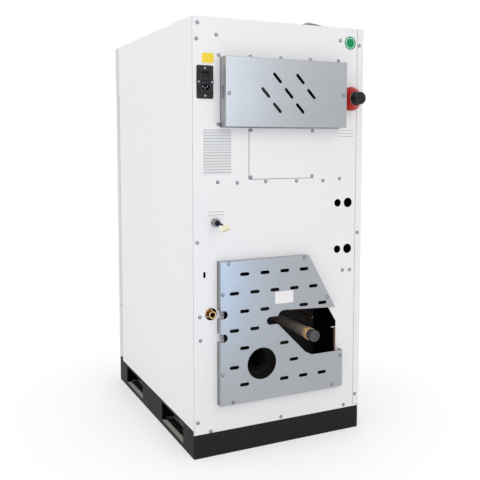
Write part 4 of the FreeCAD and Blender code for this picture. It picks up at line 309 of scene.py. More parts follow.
@dataclass(frozen=True)
class SandCast(Finish):
    """Grey iron cast in sand: gritty skin with pits and burnt patches.

    Attributes:
        grit_mm: size of the sand's grit.
        patch_mm: size of a burnt patch.
    """

    grit_mm: float = 2.5
    patch_mm: float = 30.0

    def pattern(self, tree: bpy.types.NodeTree, place: Socket) -> tuple[Socket, Socket]:
        """Draws burnt patches and the sand's grit."""
        burnt = {"Scale": per_metre(self.patch_mm), "Detail": 5.0}
        patch = add_node(tree, "ShaderNodeTexNoise", burnt, {"Vector": place})
        grit = add_node(tree, "ShaderNodeTexVoronoi", {"Scale": per_metre(self.grit_mm)}, {"Vector": place})
        return patch.outputs[0], grit.outputs["Distance"]


@dataclass(frozen=True)
class Moulding(Finish):
    """Injection-moulded plastic or rubber: spark-eroded grain that breaks up a soft gloss.

    The grain of 0.3 mm is drawn at grain_mm so that it shows.

    Attributes:
        grain_mm: size of the grain.
        flow_mm: size of the flow marks.
    """

    grain_mm: float = 1.5
    flow_mm: float = 26.0

    def pattern(self, tree: bpy.types.NodeTree, place: Socket) -> tuple[Socket, Socket]:
        """Draws faint flow marks and the tool's grain."""
        marks = {"Scale": per_metre(self.flow_mm), "Detail": 2.0}
        flow = add_node(tree, "ShaderNodeTexNoise", marks, {"Vector": place})
        eroded = {"Scale": per_metre(self.grain_mm), "Detail": 2.0}
        grain = add_node(tree, "ShaderNodeTexNoise", eroded, {"Vector": place})
        return flow.outputs[0], grain.outputs[0]


@dataclass(frozen=True)
class MineralWool(Finish):
    """Bonded stone wool: felted fibres in layers, patchy with binder.

    Attributes:
        fibre_mm: size of a tuft of fibres.
        layer: the tufts' scale along X, Y and Z, most across the layers.
    """

    fibre_mm: float = 5.0
    layer: tuple[float, float, float] = (3.0, 0.35, 0.35)

    def pattern(self, tree: bpy.types.NodeTree, place: Socket) -> tuple[Socket, Socket]:
        """Draws layers of matted fibre."""
        laid = add_node(tree, "ShaderNodeMapping", {"Scale": self.layer}, {"Vector": place})
        settings = {"Scale": per_metre(self.fibre_mm), "Detail": 8.0, "Roughness": 0.7, "Distortion": 1.5}
        fibres = add_node(tree, "ShaderNodeTexNoise", settings, {"Vector": laid.outputs[0]})
        return fibres.outputs[0], fibres.outputs[0]


@dataclass(frozen=True)
class GlassRope(Finish):
    """Braided glass-fibre rope: two sets of crossing strands, read from the rope's own attributes.

    Attributes:
        strand_mm: length of rope in which a strand goes over and under once.
        strands: strands of one set round the rope.
    """

    strand_mm: float = 9.0
    strands: float = 5.0

    def pattern(self, tree: bpy.types.NodeTree, place: Socket) -> tuple[Socket, Socket]:
        """Draws the braid from the length along the rope and the turn round it."""
        along = add_node(tree, "ShaderNodeAttribute", {"attribute_name": "along"}).outputs["Fac"]
        around = add_node(tree, "ShaderNodeAttribute", {"attribute_name": "around"}).outputs["Fac"]
        run = {"operation": "MULTIPLY", 1: 2 * math.pi * per_metre(self.strand_mm)}
        length = add_node(tree, "ShaderNodeMath", run, {0: along}).outputs[0]
        turn = {"operation": "MULTIPLY", 1: 2 * math.pi * self.strands}
        angle = add_node(tree, "ShaderNodeMath", turn, {0: around}).outputs[0]
        waves = []
        for way in ("ADD", "SUBTRACT"):
            phase = add_node(tree, "ShaderNodeMath", {"operation": way}, {0: length, 1: angle}).outputs[0]
            waves.append(add_node(tree, "ShaderNodeMath", {"operation": "SINE"}, {0: phase}).outputs[0])
        over = add_node(tree, "ShaderNodeMath", {"operation": "MAXIMUM"}, dict(enumerate(waves))).outputs[0]
        braid = add_node(tree, "ShaderNodeMapRange", {"From Min": -1.0}, {"Value": over}).outputs[0]
        return braid, braid


@dataclass(frozen=True)
class CircuitBoard(Finish):
    """Solder mask over copper tracks: a glossy green with rows of slightly raised lines.

    Attributes:
        track_mm: distance between two rows.
    """

    track_mm: float = 4.0

    def pattern(self, tree: bpy.types.NodeTree, place: Socket) -> tuple[Socket, Socket]:
        """Draws staggered tracks in the board's own upright plane."""
        turned = add_node(tree, "ShaderNodeMapping", {"Rotation": (math.pi / 2, 0, 0)}, {"Vector": place})
        settings = {"Scale": per_metre(self.track_mm) * BRICK_ROW, "Mortar Size": 0.06}
        settings |= {"Color1": (0, 0, 0, 1), "Color2": (0.3, 0.3, 0.3, 1), "Mortar": (1, 1, 1, 1)}
        tracks = add_node(tree, "ShaderNodeTexBrick", settings, {"Vector": turned.outputs[0]})
        return tracks.outputs["Color"], tracks.outputs["Fac"]


@dataclass(frozen=True)
class Film(Finish):
    """Label film: a smooth skin whose tooth is too fine to show, so it is drawn at tooth_mm.

    Attributes:
        tooth_mm: size of the tooth.
    """

    tooth_mm: float = 3.0

    def tooth(self, tree: bpy.types.NodeTree, place: Socket) -> Socket:
        """Draws the film's tooth.

        Args:
            tree: the material's tree.
            place: Object coordinates.

        Returns:
            A socket for the height.
        """
        fine = {"Scale": per_metre(self.tooth_mm), "Detail": 2.0}
        return add_node(tree, "ShaderNodeTexNoise", fine, {"Vector": place}).outputs[0]


@dataclass(frozen=True)
class PrintedFilm(Film):
    """Satin label film with empty ruled rows: nothing is written on it.

    Attributes:
        row_mm: distance between two lines.
        line_mm: a line's width.
    """

    row_mm: float = 12.0
    line_mm: float = 0.9

    def pattern(self, tree: bpy.types.NodeTree, place: Socket) -> tuple[Socket, Socket]:
        """Draws level lines row_mm apart and a fine tooth."""
        height = add_node(tree, "ShaderNodeSeparateXYZ", None, {0: place}).outputs["Z"]
        spaced = {"operation": "PINGPONG", 1: self.row_mm * MM / 2}
        rows = add_node(tree, "ShaderNodeMath", spaced, {0: height}).outputs[0]
        thin = {"operation": "LESS_THAN", 1: self.line_mm * MM / 2}
        line = add_node(tree, "ShaderNodeMath", thin, {0: rows}).outputs[0]
        return line, self.tooth(tree, place)


@dataclass(frozen=True)
class PlainFilm(Film):
    """Unprinted vinyl film: an even tone, faintly cloudy where the glue shows through.

    Attributes:
        cloud_mm: size of the clouds.
    """

    cloud_mm: float = 16.0

    def pattern(self, tree: bpy.types.NodeTree, place: Socket) -> tuple[Socket, Socket]:
        """Draws the glue's clouds and a fine tooth."""
        slow = {"Scale": per_metre(self.cloud_mm), "Detail": 2.0}
        cloud = add_node(tree, "ShaderNodeTexNoise", slow, {"Vector": place})
        return cloud.outputs[0], self.tooth(tree, place)


@dataclass(frozen=True)
class RingedFilm(Film):
    """Round sticker of coloured film with a paler ring near its edge.

    Attributes:
        middle: middle of the sticker's outer face.
        ring_mm: the ring's radius.
        band_mm: the ring's width.
    """

    middle: tuple[float, float, float] = (0.0, 0.0, 0.0)
    ring_mm: float = 14.0
    band_mm: float = 4.0

    def pattern(self, tree: bpy.types.NodeTree, place: Socket) -> tuple[Socket, Socket]:
        """Draws the ring about the sticker's middle and a fine tooth."""
        away = add_node(tree, "ShaderNodeVectorMath", {"operation": "DISTANCE", 1: self.middle}, {0: place})
        off = {"operation": "COMPARE", 1: self.ring_mm * MM, 2: self.band_mm * MM / 2}
        ring = add_node(tree, "ShaderNodeMath", off, {0: away.outputs["Value"]})
        return ring.outputs[0], self.tooth(tree, place)


DULL = (("Specular IOR Level", 0.2),)
MILD = (("Specular IOR Level", 0.3),)

# White satin powder coat of the casing: bright and even, soft highlights.
WHITE_COAT = PowderCoat("powder_coat_white", "#EBEAEB", "#E7E6E8", (0.38, 0.46), depth_mm=0.04)
# Light grey powder coat of the front: a shade below the white, so that the doors read as a front.
GREY_COAT = PowderCoat("powder_coat_light_grey", "#D4D5D7", "#CCCDD0", (0.36, 0.44), depth_mm=0.04)
# Black structure coat of the plinth: dark, dull and slightly dusty.
BLACK_COAT = PowderCoat("powder_coat_black", "#212122", "#1A1A1B", (0.52, 0.64), depth_mm=0.08,
                        extras=(("Specular IOR Level", 0.14),), peel_mm=3.5, drift_mm=150.0)
# Galvanised sheet of the covers: pale grey, satin, with a faint spangle, blue where a window shows in it.
ZINC = ZincSheet("galvanised_sheet", "#B4B7BA", "#A0A3A6", (0.32, 0.41), 1.0, 0.02)
# Galvanised folded sheet of the frame and hopper: greyer than the covers, handled.
FRAME_ZINC = ZincSheet("galvanised_frame", "#9EA4A8", "#83888B", (0.4, 0.55), 1.0, 0.03, spangle_mm=12.0)
# Zinc plating on screws and hinges: small mirrors, a little smoky.
PLATING = TurnedMetal("zinc_plating", "#B4B6B9", "#8E9093", (0.22, 0.36), 1.0, 0.03)
# Heat-resisting black paint on the boiler's shell and fan: chalky and without shine.
STOVE_BLACK = PowderCoat("stove_paint_black", "#1D1B1A", "#131212", (0.7, 0.85), depth_mm=0.2,
                         peel_mm=4.0, drift_mm=90.0)
# Primed boiler shell: grey-brown, chalky.
JACKET = PowderCoat("stove_primer", "#4A443F", "#37322E", (0.7, 0.85), depth_mm=0.2,
                    peel_mm=4.0, drift_mm=70.0)
# Welded steel plate round the fire: brown-grey scale with soot.
FIRE_STEEL = RolledSteel("scaled_steel_plate", "#4A4541", "#2C2826", (0.5, 0.75), 0.8, 0.15, streak_mm=18.0)
# Drawn water pipe: a pale bronze-grey, far paler than its steel, as painted light where the notch keeps light
# from it; a film of oil gives a long soft highlight.
PIPE = RolledSteel("drawn_pipe_steel", "#D2C6BA", "#8C8076", (0.2, 0.34), depth_mm=0.06,
                   extras=(("Specular IOR Level", 1.0),))
# Cast burner: matt dark iron with a sandy skin.
CAST = SandCast("grey_cast_iron", "#454548", "#2E2D2E", (0.6, 0.8), 0.6, 0.35)
# Machined brass: warm yellow with duller brown patches.
BRASS = TurnedMetal("machined_brass", "#EBC08A", "#C8965C", (0.3, 0.46), 1.0, 0.05)
# Union ring: pale gold and barely metallic, painted light that stands in for the bright brass catching light
# in the notch's shade.
BRASS_RING_LIGHT = TurnedMetal("brass_ring_painted_light", "#F2CC98", "#D6A86E", (0.42, 0.56), 0.15, 0.05)
# Nickel-plated gland: neutral bright metal.
NICKEL = TurnedMetal("nickel_plated_brass", "#A0A1A3", "#7E7F82", (0.25, 0.36), 1.0, 0.04)
# Stainless igniter sheath: straw-coloured by heat.
STAINLESS = TurnedMetal("heat_tinted_stainless", "#B4A892", "#8C7A60", (0.25, 0.4), 1.0, 0.04)
# Glossy red nylon of the valve bonnet: saturated, with clear highlights.
RED = Moulding("glossy_red_nylon", "#C42412", "#A81A0A", (0.2, 0.28), depth_mm=0.02, extras=MILD)
# Black moulded knob: soft grey highlights on the bevel.
KNOB_BLACK = Moulding("black_knob_plastic", "#232525", "#1C1E1E", (0.35, 0.45), depth_mm=0.03, extras=DULL)
# Black thermoplastic of the mains inlet: dark grey, matt.
INLET_BLACK = Moulding("black_thermoplastic", "#28282A", "#222223", (0.42, 0.52), depth_mm=0.03, extras=DULL)
# Rocker: the same plastic, polished and darker.
ROCKER_BLACK = Moulding("polished_black_plastic", "#1C1B1A", "#151414", (0.3, 0.38), depth_mm=0.02,
                        extras=DULL)
# Transport cap of the pipe: dull grey polyethylene.
CAP_GREY = Moulding("grey_polyethylene", "#525052", "#464445", (0.5, 0.6), depth_mm=0.08)
# Connector housing: cream nylon that lets a little light in.
CREAM = Moulding("cream_nylon", "#F6F2DF", "#EEE9D2", (0.35, 0.45), depth_mm=0.02,
                 extras=(("Subsurface Weight", 0.1),))
# Cable sheath and gland boot: soft black rubber.
RUBBER = Moulding("black_rubber", "#1B1A1A", "#121212", (0.55, 0.7), depth_mm=0.06, extras=DULL)
# Dull mid grey for thin strips along seams and edges: painted shade of the gaps there, so that seams read as
# thin dark lines.
SEAM_SHADOW_GREY = Moulding("grey_seam_shadow", "#58585A", "#4E4E50", (0.7, 0.8), depth_mm=0.1, extras=DULL)
# Near-black sheet behind the openings, painted shade where the casing's inside lies in shadow: swallows
# nearly all light.
SHADE_BLACK = MineralWool("black_painted_shade", "#161412", "#0E0D0B", (0.92, 1.0), depth_mm=0.6, extras=DULL)
# Fibre strip at the notch: reddish brown board, frayed.
EDGE_FIBRE = MineralWool("brown_fibre_strip", "#93705B", "#6E503E", (0.85, 0.95), depth_mm=0.5, fibre_mm=3.0)
# Pale grey plates on the fork openings' sills: painted light, for the light that falls on the floor inside
# the openings.
SILL_LIGHT_GREY = RolledSteel("sill_painted_light", "#CFCBC5", "#A29E98", (0.45, 0.6), depth_mm=0.1,
                         stretch=(0.3, 1.0, 1.0))
# Push-button caps: pale grey, finely grained.
BUTTON = Moulding("grained_grey_plastic", "#A8ABAF", "#9A9DA1", (0.42, 0.5), depth_mm=0.05)
# Handle: black phenolic with a deep gloss.
HANDLE = Moulding("black_phenolic", "#1E1E1F", "#171718", (0.25, 0.34), depth_mm=0.03,
                  extras=(("Coat Weight", 0.3),))
# Display window: smoked acrylic, near black and mirror smooth.
SMOKED = Moulding("smoked_acrylic", "#14171A", "#0E1012", (0.06, 0.1), depth_mm=0.005,
                  extras=(*MILD, ("Coat Weight", 0.2)))
# Painted motor shells: dark blue-grey enamel.
ENAMEL = PowderCoat("motor_enamel", "#3B4147", "#31363B", (0.35, 0.5), depth_mm=0.08,
                    peel_mm=4.0, drift_mm=60.0)
# Pressed vermiculite board of the flame baffle: sandy with glinting flakes.
FIBRE_BOARD = SandCast("pressed_vermiculite", "#CDBB92", "#A8946B", (0.75, 0.9), depth_mm=0.5,
                       grit_mm=4.0, patch_mm=22.0)
# Stone wool: olive-brown and furry.
WOOL = MineralWool("stone_wool", "#B5A06A", "#8A7646", (0.9, 1.0), depth_mm=1.5)
# Glass rope of the door: off-white braid.
ROPE = GlassRope("braided_glass_rope", "#8F8B82", "#DAD6CB", (0.8, 0.9), depth_mm=0.9)
# Circuit board: green solder mask.
MASK = CircuitBoard("green_solder_mask", "#1F5B36", "#3C8A57", (0.25, 0.35), depth_mm=0.05)
# Rating plate's place: silver-white film with empty ruled rows.
PLATE_FILM = PrintedFilm("silver_white_film", "#D8D9DA", "#989A9C", (0.3, 0.5), depth_mm=0.01,
                         row_mm=8.0, line_mm=1.5)
# Small blank stickers: white film with empty ruled rows.
RULED_FILM = PrintedFilm("ruled_white_film", "#EBEBEB", "#98989A", (0.32, 0.5), depth_mm=0.01,
                         row_mm=9.0, line_mm=1.3)
# Blank sticker of the lower cover: plain white film.
WHITE_FILM = PlainFilm("white_film", "#EEECEC", "#E4E2E3", (0.34, 0.44), depth_mm=0.01)
# Plain yellow sticker, nothing on it.
YELLOW_FILM = PlainFilm("yellow_film", "#F2D51D", "#E8C918", (0.35, 0.4), depth_mm=0.01)

DRESS: dict[Finish, str] = {
    WHITE_COAT: "side_panel_left side_panel_right top_panel rear_panel inspection_plate hopper_lid",
    GREY_COAT: "control_fascia front_door drawer_front",
    BLACK_COAT: "plinth",
    ZINC: "upper_cover lower_cover",
    FRAME_ZINC: "inlet_pins rear_frame front_frame cover_spacers door_inner ash_drawer hopper "
                "auger_tube fan_impeller",
    PLATING: "door_pivots lid_hinges",
    JACKET: "boiler_jacket",
    STOVE_BLACK: "flue_box fan_housing flue_spigot",
    FIRE_STEEL: "furnace ash_bay auger_screw",
    PIPE: "water_pipe relief_pipe",
    CAST: "burner_base burner_pot",
    BRASS: "drain_nipple temperature_probe relief_valve_body",
    BRASS_RING_LIGHT: "union_ring",
    NICKEL: "cable_gland",
    STAINLESS: "igniter",
    RED: "relief_bonnet",
    KNOB_BLACK: "relief_knob",
    INLET_BLACK: "inlet_plate power_inlet",
    ROCKER_BLACK: "rocker_switch",
    CAP_GREY: "pipe_cap",
    CREAM: "probe_connector",
    RUBBER: "gland_seal probe_cable",
    BUTTON: "button_up button_down button_power",
    HANDLE: "door_handle",
    SMOKED: "display_window",
    ENAMEL: "auger_gearmotor fan_motor",
    FIBRE_BOARD: "flame_baffle",
    WOOL: "boiler_insulation",
    ROPE: "door_seal",
    MASK: "control_board",
}


class Palette:
    """Builds each finish once and hands out its material."""

    def __init__(self) -> None:
        """Starts with nothing built."""
        self.made: dict[Finish, bpy.types.Material] = {}

    def of(self, finish: Finish) -> bpy.types.Material:
        """Gives a finish's material.

        Args:
            finish: the finish wanted.

        Returns:
            Its material, built on first use.
        """
        if finish not in self.made:
            self.made[finish] = finish.build()
        return self.made[finish]

    def dress(self, nodes: dict[str, bpy.types.Object]) -> None:
        """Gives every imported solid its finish.

        Args:
            nodes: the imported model's objects by name.
        """
        for finish, names in DRESS.items():
            for name in names.split():
                for slot in nodes[name].material_slots:
                    slot.material = self.of(finish)
                LOG.info("%s: %s", name, finish.name)


def rear_of(node: str) -> float:
    """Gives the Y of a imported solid's rear face."""
    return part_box(node)[1].y


def corners_mm(node: str) -> tuple[Vector, Vector]:
    """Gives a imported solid's lowest and highest corner in mm."""
    low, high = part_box(node)
    return low / MM, high / MM


def full_turn(count: int) -> list[float]:
    """Divides a full turn into equal steps, in radians."""
    return [2 * math.pi * i / count for i in range(count)]


def place_piece(name: str, mesh: bpy.types.ID,
                material: bpy.types.Material | None = None) -> bpy.types.Object:
    """Links a new object at the origin.

    Args:
        name: the piece's name.
        mesh: its mesh or curve, already in place.
        material: what it is made of, unless its mesh carries that.

    Returns:
        The object.
    """
    if material:
        mesh.materials.append(material)
    piece = bpy.data.objects.new(name, mesh)
    bpy.context.scene.collection.objects.link(piece)
    return piece


def settle(piece: bpy.types.Object, body: Body, slot: Slot, *nodes: str) -> None:
    """Makes a finished piece ride on its body.

    Args:
        piece: the finished piece.
        body: the body that it moves with.
        slot: the record's material slot; not used.
        nodes: solids that it stands for.
    """
    if nodes:
        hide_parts(*nodes)
    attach(piece, body.value)
    LOG.info("%s rides on %s", piece.name, body.value)


def new_tree(name: str, inputs: dict[str, str]) -> bpy.types.NodeTree:
    """Makes a Geometry Nodes tree with named inputs.

    Args:
        name: the tree's name.
        inputs: socket kinds by input name.

    Returns:
        The tree, with a geometry socket at each end.
    """
    tree = bpy.data.node_groups.new(name, "GeometryNodeTree")
    tree.interface.new_socket("Geometry", in_out="INPUT", socket_type="NodeSocketGeometry")
    for label, kind in inputs.items():
        tree.interface.new_socket(label, in_out="INPUT", socket_type=kind)
    tree.interface.new_socket("Geometry", in_out="OUTPUT", socket_type="NodeSocketGeometry")
    return tree


def end_tree(tree: bpy.types.NodeTree, shape: Socket, finish: Socket) -> None:
    """Ends a Geometry Nodes tree with real geometry in one material.

    Args:
        tree: the tree.
        shape: socket of the finished geometry.
        finish: socket of its material.
    """
    real = add_node(tree, "GeometryNodeRealizeInstances", None, {0: shape}).outputs[0]
    fed = {"Geometry": real, "Material": finish}
    painted = add_node(tree, "GeometryNodeSetMaterial", None, fed).outputs[0]
    add_node(tree, "NodeGroupOutput", None, {0: painted})


def grow(name: str, start: bpy.types.Mesh, tree: bpy.types.NodeTree, values: dict) -> bpy.types.Object:
    """Runs a Geometry Nodes tree once and keeps its result as a plain mesh.

    Args:
        name: the finished piece's name.
        start: mesh that the tree begins with.
        tree: the tree.
        values: the tree's inputs by name.

    Returns:
        The piece, with no modifier left on it.
    """
    holder = place_piece(name + "_start", start)
    modifier = holder.modifiers.new(name, "NODES")
    modifier.node_group = tree
    for item in tree.interface.items_tree:
        if item.in_out == "INPUT" and item.name in values:
            modifier[item.identifier] = values[item.name]
    graph = bpy.context.evaluated_depsgraph_get()
    grown = holder.evaluated_get(graph)
    mesh = bpy.data.meshes.new_from_object(grown, preserve_all_data_layers=True, depsgraph=graph)
    holder.modifiers.clear()
    bpy.data.objects.remove(holder)
    return place_piece(name, mesh)


def ring_shell(rings: list[list[Vector]], hollow: bool = False) -> bpy.types.Mesh:
    """Skins a stack of rings into a closed shell.

    Args:
        rings: rings of equal count, from the first end to the last.
        hollow: whether the last ring joins the first, as in a washer.

    Returns:
        The mesh, closed and with faces outwards.
    """
    shell = bmesh.new()
    loops = [[shell.verts.new(point) for point in ring] for ring in rings]
    for low, high in zip(loops, loops[1:] + loops[:1] if hollow else loops[1:]):
        for i in range(len(low)):
            after = (i + 1) % len(low)
            shell.faces.new((low[i], low[after], high[after], high[i]))
    if not hollow:
        shell.faces.new(reversed(loops[0]))
        shell.faces.new(loops[-1])
    bmesh.ops.recalc_face_normals(shell, faces=shell.faces)
    mesh = bpy.data.meshes.new("shell")
    shell.to_mesh(mesh)
    shell.free()
    mesh.shade_smooth()
    mesh.set_sharp_from_angle(angle=SHARP_ANGLE)
    return mesh


def turned_shell(profile: list[tuple[float, float]], middle: tuple[float, float] = (0.0, 0.0),
                 facets: int = 24, hollow: bool = False) -> bpy.types.Mesh:
    """Turns a profile about an axis along Y.

    Args:
        profile: (radius, y) pairs.
        middle: (x, z) of the axis.
        facets: sides of the round.
        hollow: whether the profile closes on itself.

    Returns:
        The turned mesh.
    """
    turns = full_turn(facets)
    x, z = middle
    rings = [[Vector((x + r * math.cos(t), y, z + r * math.sin(t))) for t in turns] for r, y in profile]
    return ring_shell(rings, hollow)


def add_block(shell: bmesh.types.BMesh, low: tuple, high: tuple) -> list[bmesh.types.BMEdge]:
    """Adds a plain block to a mesh.

    Args:
        shell: the mesh that gets it.
        low: its lowest corner in mm.
        high: its highest corner in mm.

    Returns:
        The block's edges.
    """
    made = bmesh.ops.create_cube(shell, size=1.0)["verts"]
    for vert in made:
        vert.co = [(high if part > 0 else low)[axis] * MM for axis, part in enumerate(vert.co)]
    return list(dict.fromkeys(edge for vert in made for edge in vert.link_edges))


def bar_mesh(name: str, boxes: list[tuple], soft: float = 0.25) -> bpy.types.Mesh:
    """Builds straight bars with softened edges.

    Args:
        name: the mesh's name.
        boxes: low and high corners of each bar in mm.
        soft: width of the softened edge, as a part of the bar's least size.

    Returns:
        The mesh, with one closed shell for each bar.
    """
    shell = bmesh.new()
    for low, high in boxes:
        edges = add_block(shell, low, high)
        width = soft * min(end - start for start, end in zip(low, high)) * MM
        bmesh.ops.bevel(shell, geom=edges, offset=width, segments=2, profile=0.5, affect="EDGES")
    mesh = bpy.data.meshes.new(name)
    shell.to_mesh(mesh)
    shell.free()
    return mesh


# Key of the screws that sit on the sleeves, and the sleeves' own name.
SLEEVE = "edge_sleeve"


@dataclass
class CasingScrews:
    """Pan-head screws on the rear, and the sleeves under the two in the lower cover's edge.

    Attributes:
        radius: a head's radius.
        height: how far a head stands proud.
        facets: sides of a head.
        dome: the head's outside from the seat up, as parts of its radius and height.
        arm: half the cross recess's length, as a part of the head's radius.
        slim: the recess's width, as a part of its length.
        floor: the recess's floor, as parts of its mouth and of the head's height.
        small_size: size of the mains inlet's screws.
        shade_ring: radius of the dark rubber ring under a head, painted shade round the domed head.
        bore: the ring's hole, as a part of its radius.
        rise: heights of the ring's outer and inner edge.
        sleeve_radius: radius of the two sleeves.
        sleeve_rise: how far the sleeves stand out of the rear panel.
        sleeve_tip: a sleeve's tapered end, as a part of its radius and as a length.
        seats: screw places as (x, z) in mm by the solid that they sit on, or by SLEEVE.
        small: places of the mains inlet's screws.
    """

    radius: float = 4.2 * MM
    height: float = 2.6 * MM
    facets: int = 24
    dome: tuple = ((1.0, 0.0), (1.0, 0.35), (0.9, 0.72), (0.66, 0.96))
    arm: float = 0.52
    slim: float = 0.3
    floor: tuple[float, float] = (0.8, 0.45)
    small_size: float = 0.78
    shade_ring: float = 5.3 * MM
    bore: float = 0.6
    rise: tuple[float, float] = (0.3 * MM, 0.6 * MM)
    sleeve_radius: float = 6.5 * MM
    sleeve_rise: float = 7 * MM
    sleeve_tip: tuple[float, float] = (0.9, 0.8 * MM)
    seats: dict[str, list[tuple[float, float]]] = field(default_factory=lambda: {
        "rear_panel": [
            (268, 1247), (271.5, 1203), (211.5, 1217), (204, 1161.5), (104.5, 1162), (5, 1163),
            (-95, 1164), (-195, 1165), (-201, 1226), (205.8, 968), (208, 804), (146.5, 801), (54, 803),
            (-50, 802), (-143, 801), (-203, 806), (264.5, 419), (263, 350), (-218, 518), (-244.5, 517),
            (272, 108), (232, 76.5), (-1, 80.6), (-228, 81.4), (-270, 1215), (-272, 634), (-271, 110),
            (271.5, 634),
        ],
        "inspection_plate": [(-103.3, 816.2), (103.3, 816.2), (-103.3, 951.8), (103.3, 951.8)],
        SLEEVE: [(198, 355.5), (198, 424)],
        "lower_cover": [
            (183.5, 570.2), (-68.1, 570.2), (202.2, 481.9), (202.2, 246.3), (168.5, 159.9), (-170, 163.8),
            (-200.7, 252.2), (-150.1, 443.1),
        ],
        "upper_cover": [(189.5, 1054), (-190, 1058.5)],
    })
    small: dict[str, list[tuple[float, float]]] = field(default_factory=lambda: {
        "inlet_plate": [(246.5, 1047), (246.5, 1123)],
        "power_inlet": [(226.5, 1085), (266.5, 1085)],
    })

    def level(self, seat: str) -> float:
        """Gives the Y of a seat: a solid's rear face, or the sleeves' outer ends."""
        return rear_of("rear_panel") + self.sleeve_rise if seat == SLEEVE else rear_of(seat)

    def head(self) -> bpy.types.Mesh:
        """Builds one pan head with a cross recess, seated at Y 0.

        Returns:
            The head's mesh.
        """
        arm = self.arm * self.radius
        half = self.slim * arm
        cross = []
        for i in range(self.facets):
            off = math.radians(abs((360 / self.facets * i + 45) % 90 - 45))
            cross.append(arm / math.cos(off) if math.tan(off) <= half / arm else half / math.sin(off))
        part, depth = self.floor
        rings = [[(out * self.radius, up * self.height)] * self.facets for out, up in self.dome]
        rings.append([(reach, self.height) for reach in cross])
        rings.append([(part * reach, depth * self.height) for reach in cross])
        turns = full_turn(self.facets)
        return ring_shell([[Vector((r * math.cos(t), y, r * math.sin(t))) for (r, y), t in zip(ring, turns)]
                           for ring in rings])

    def layout(self) -> bpy.types.NodeTree:
        """Builds the tree that sets a head on every seat, each turned by chance.

        Returns:
            The tree.
        """
        kinds = {"Head": "NodeSocketObject", "Turn": "NodeSocketFloat", "Seed": "NodeSocketInt"}
        tree = new_tree("screw_layout", kinds | {"Finish": "NodeSocketMaterial"})
        given = add_node(tree, "NodeGroupInput").outputs
        head = add_node(tree, "GeometryNodeObjectInfo", None, {"Object": given["Head"]}).outputs["Geometry"]
        fed = {3: given["Turn"], 8: given["Seed"]}
        turn = add_node(tree, "FunctionNodeRandomValue", {"data_type": "FLOAT"}, fed).outputs[1]
        euler = add_node(tree, "ShaderNodeCombineXYZ", None, {"Y": turn}).outputs[0]
        turned = add_node(tree, "FunctionNodeEulerToRotation", None, {0: euler}).outputs[0]
        named = {"data_type": "FLOAT", "Name": "size"}
        size = add_node(tree, "GeometryNodeInputNamedAttribute", named).outputs[0]
        fed = {"Points": given["Geometry"], "Instance": head, "Rotation": turned, "Scale": size}
        heads = add_node(tree, "GeometryNodeInstanceOnPoints", None, fed).outputs[0]
        end_tree(tree, heads, given["Finish"])
        return tree

    def build(self, palette: Palette) -> None:
        """Sets every screw and the two sleeves.

        Args:
            palette: gives the materials.
        """
        layout = self.layout()
        rows = [(self.seats, 1.0), (self.small, self.small_size)]
        self.repeat("casing_screws", self.head(), rows, layout, palette.of(PLATING), Slot.STEEL)
        # Dark rubber rings under the heads: painted shade round each domed head.
        hole, low, high = self.bore * self.shade_ring, *self.rise
        section = [(hole, 0.0), (self.shade_ring, 0.0), (self.shade_ring, low), (hole, high)]
        shade_ring = turned_shell(section, hollow=True)
        rows = [({seat: places for seat, places in self.seats.items() if seat != SLEEVE}, 1.0)]
        self.repeat("screw_washers", shade_ring, rows, layout, palette.of(RUBBER), Slot.RUBBER)
        foot, tip = rear_of("rear_panel"), self.level(SLEEVE)
        part, taper = self.sleeve_tip
        wide = self.sleeve_radius
        for i, (x, z) in enumerate(self.seats[SLEEVE]):
            tube = turned_shell([(wide, foot), (wide, tip - taper), (part * wide, tip)], (x * MM, z * MM))
            settle(place_piece(f"{SLEEVE}_{i}", tube, palette.of(BUTTON)), Body.CASING, Slot.PLASTIC)

    def repeat(self, name: str, shape: bpy.types.Mesh, rows: list, layout: bpy.types.NodeTree,
               material: bpy.types.Material, slot: Slot) -> None:
        """Sets one shape on every seat.

        Args:
            name: the piece's name.
            shape: mesh that is repeated, seated at Y 0.
            rows: pairs of seats and their size.
            layout: the tree that repeats it.
            material: what it is made of.
            slot: the record's material slot.
        """
        points, sizes = [], []
        for seats, size in rows:
            for seat, places in seats.items():
                points += [(x * MM, self.level(seat), z * MM) for x, z in places]
                sizes += [size] * len(places)
        start = bpy.data.meshes.new(name + "_seats")
        start.from_pydata(points, [], [])
        start.attributes.new("size", "FLOAT", "POINT").data.foreach_set("value", sizes)
        single = place_piece(name + "_one", shape)
        values = {"Head": single, "Turn": 2 * math.pi, "Seed": SEED, "Finish": material}
        piece = grow(name, start, layout, values)
        bpy.data.objects.remove(single)
        settle(piece, Body.CASING, slot)


@dataclass
class ProbeLead:
    """The short lead between the gland's boot and the cream connector.

    Attributes:
        route: the lead's control points, as in the solids.
        radius: half the sheath's diameter.
        length: the lead's real length; not used.
        steps: points of the line for each control point.
        rounds: steps of the sheath's round.
    """

    route: tuple[tuple[float, float, float], ...] = (
        (0.217, 0.416, 0.689), (0.217, 0.430, 0.689), (0.2165, 0.4395, 0.6884), (0.2155, 0.447, 0.6835))
    radius: float = 2.6 * MM
    length: float = 0.0322
    steps: int = 12
    rounds: int = 5

    def build(self, palette: Palette) -> None:
        """Lays the lead as one smooth line with a round sheath.

        Args:
            palette: gives the rubber.
        """
        curve = bpy.data.curves.new("probe_lead", "CURVE")
        curve.dimensions = "3D"
        curve.bevel_depth = self.radius
        curve.bevel_resolution = self.rounds
        curve.use_fill_caps = True
        spline = curve.splines.new("NURBS")
        spline.points.add(len(self.route) - 1)
        for point, place in zip(spline.points, self.route):
            point.co = (*place, 1.0)
        spline.order_u = 3
        spline.use_endpoint_u = True
        spline.resolution_u = self.steps
        lead = place_piece("probe_lead", curve, palette.of(RUBBER))
        settle(lead, Body.CASING, Slot.RUBBER, "probe_cable")


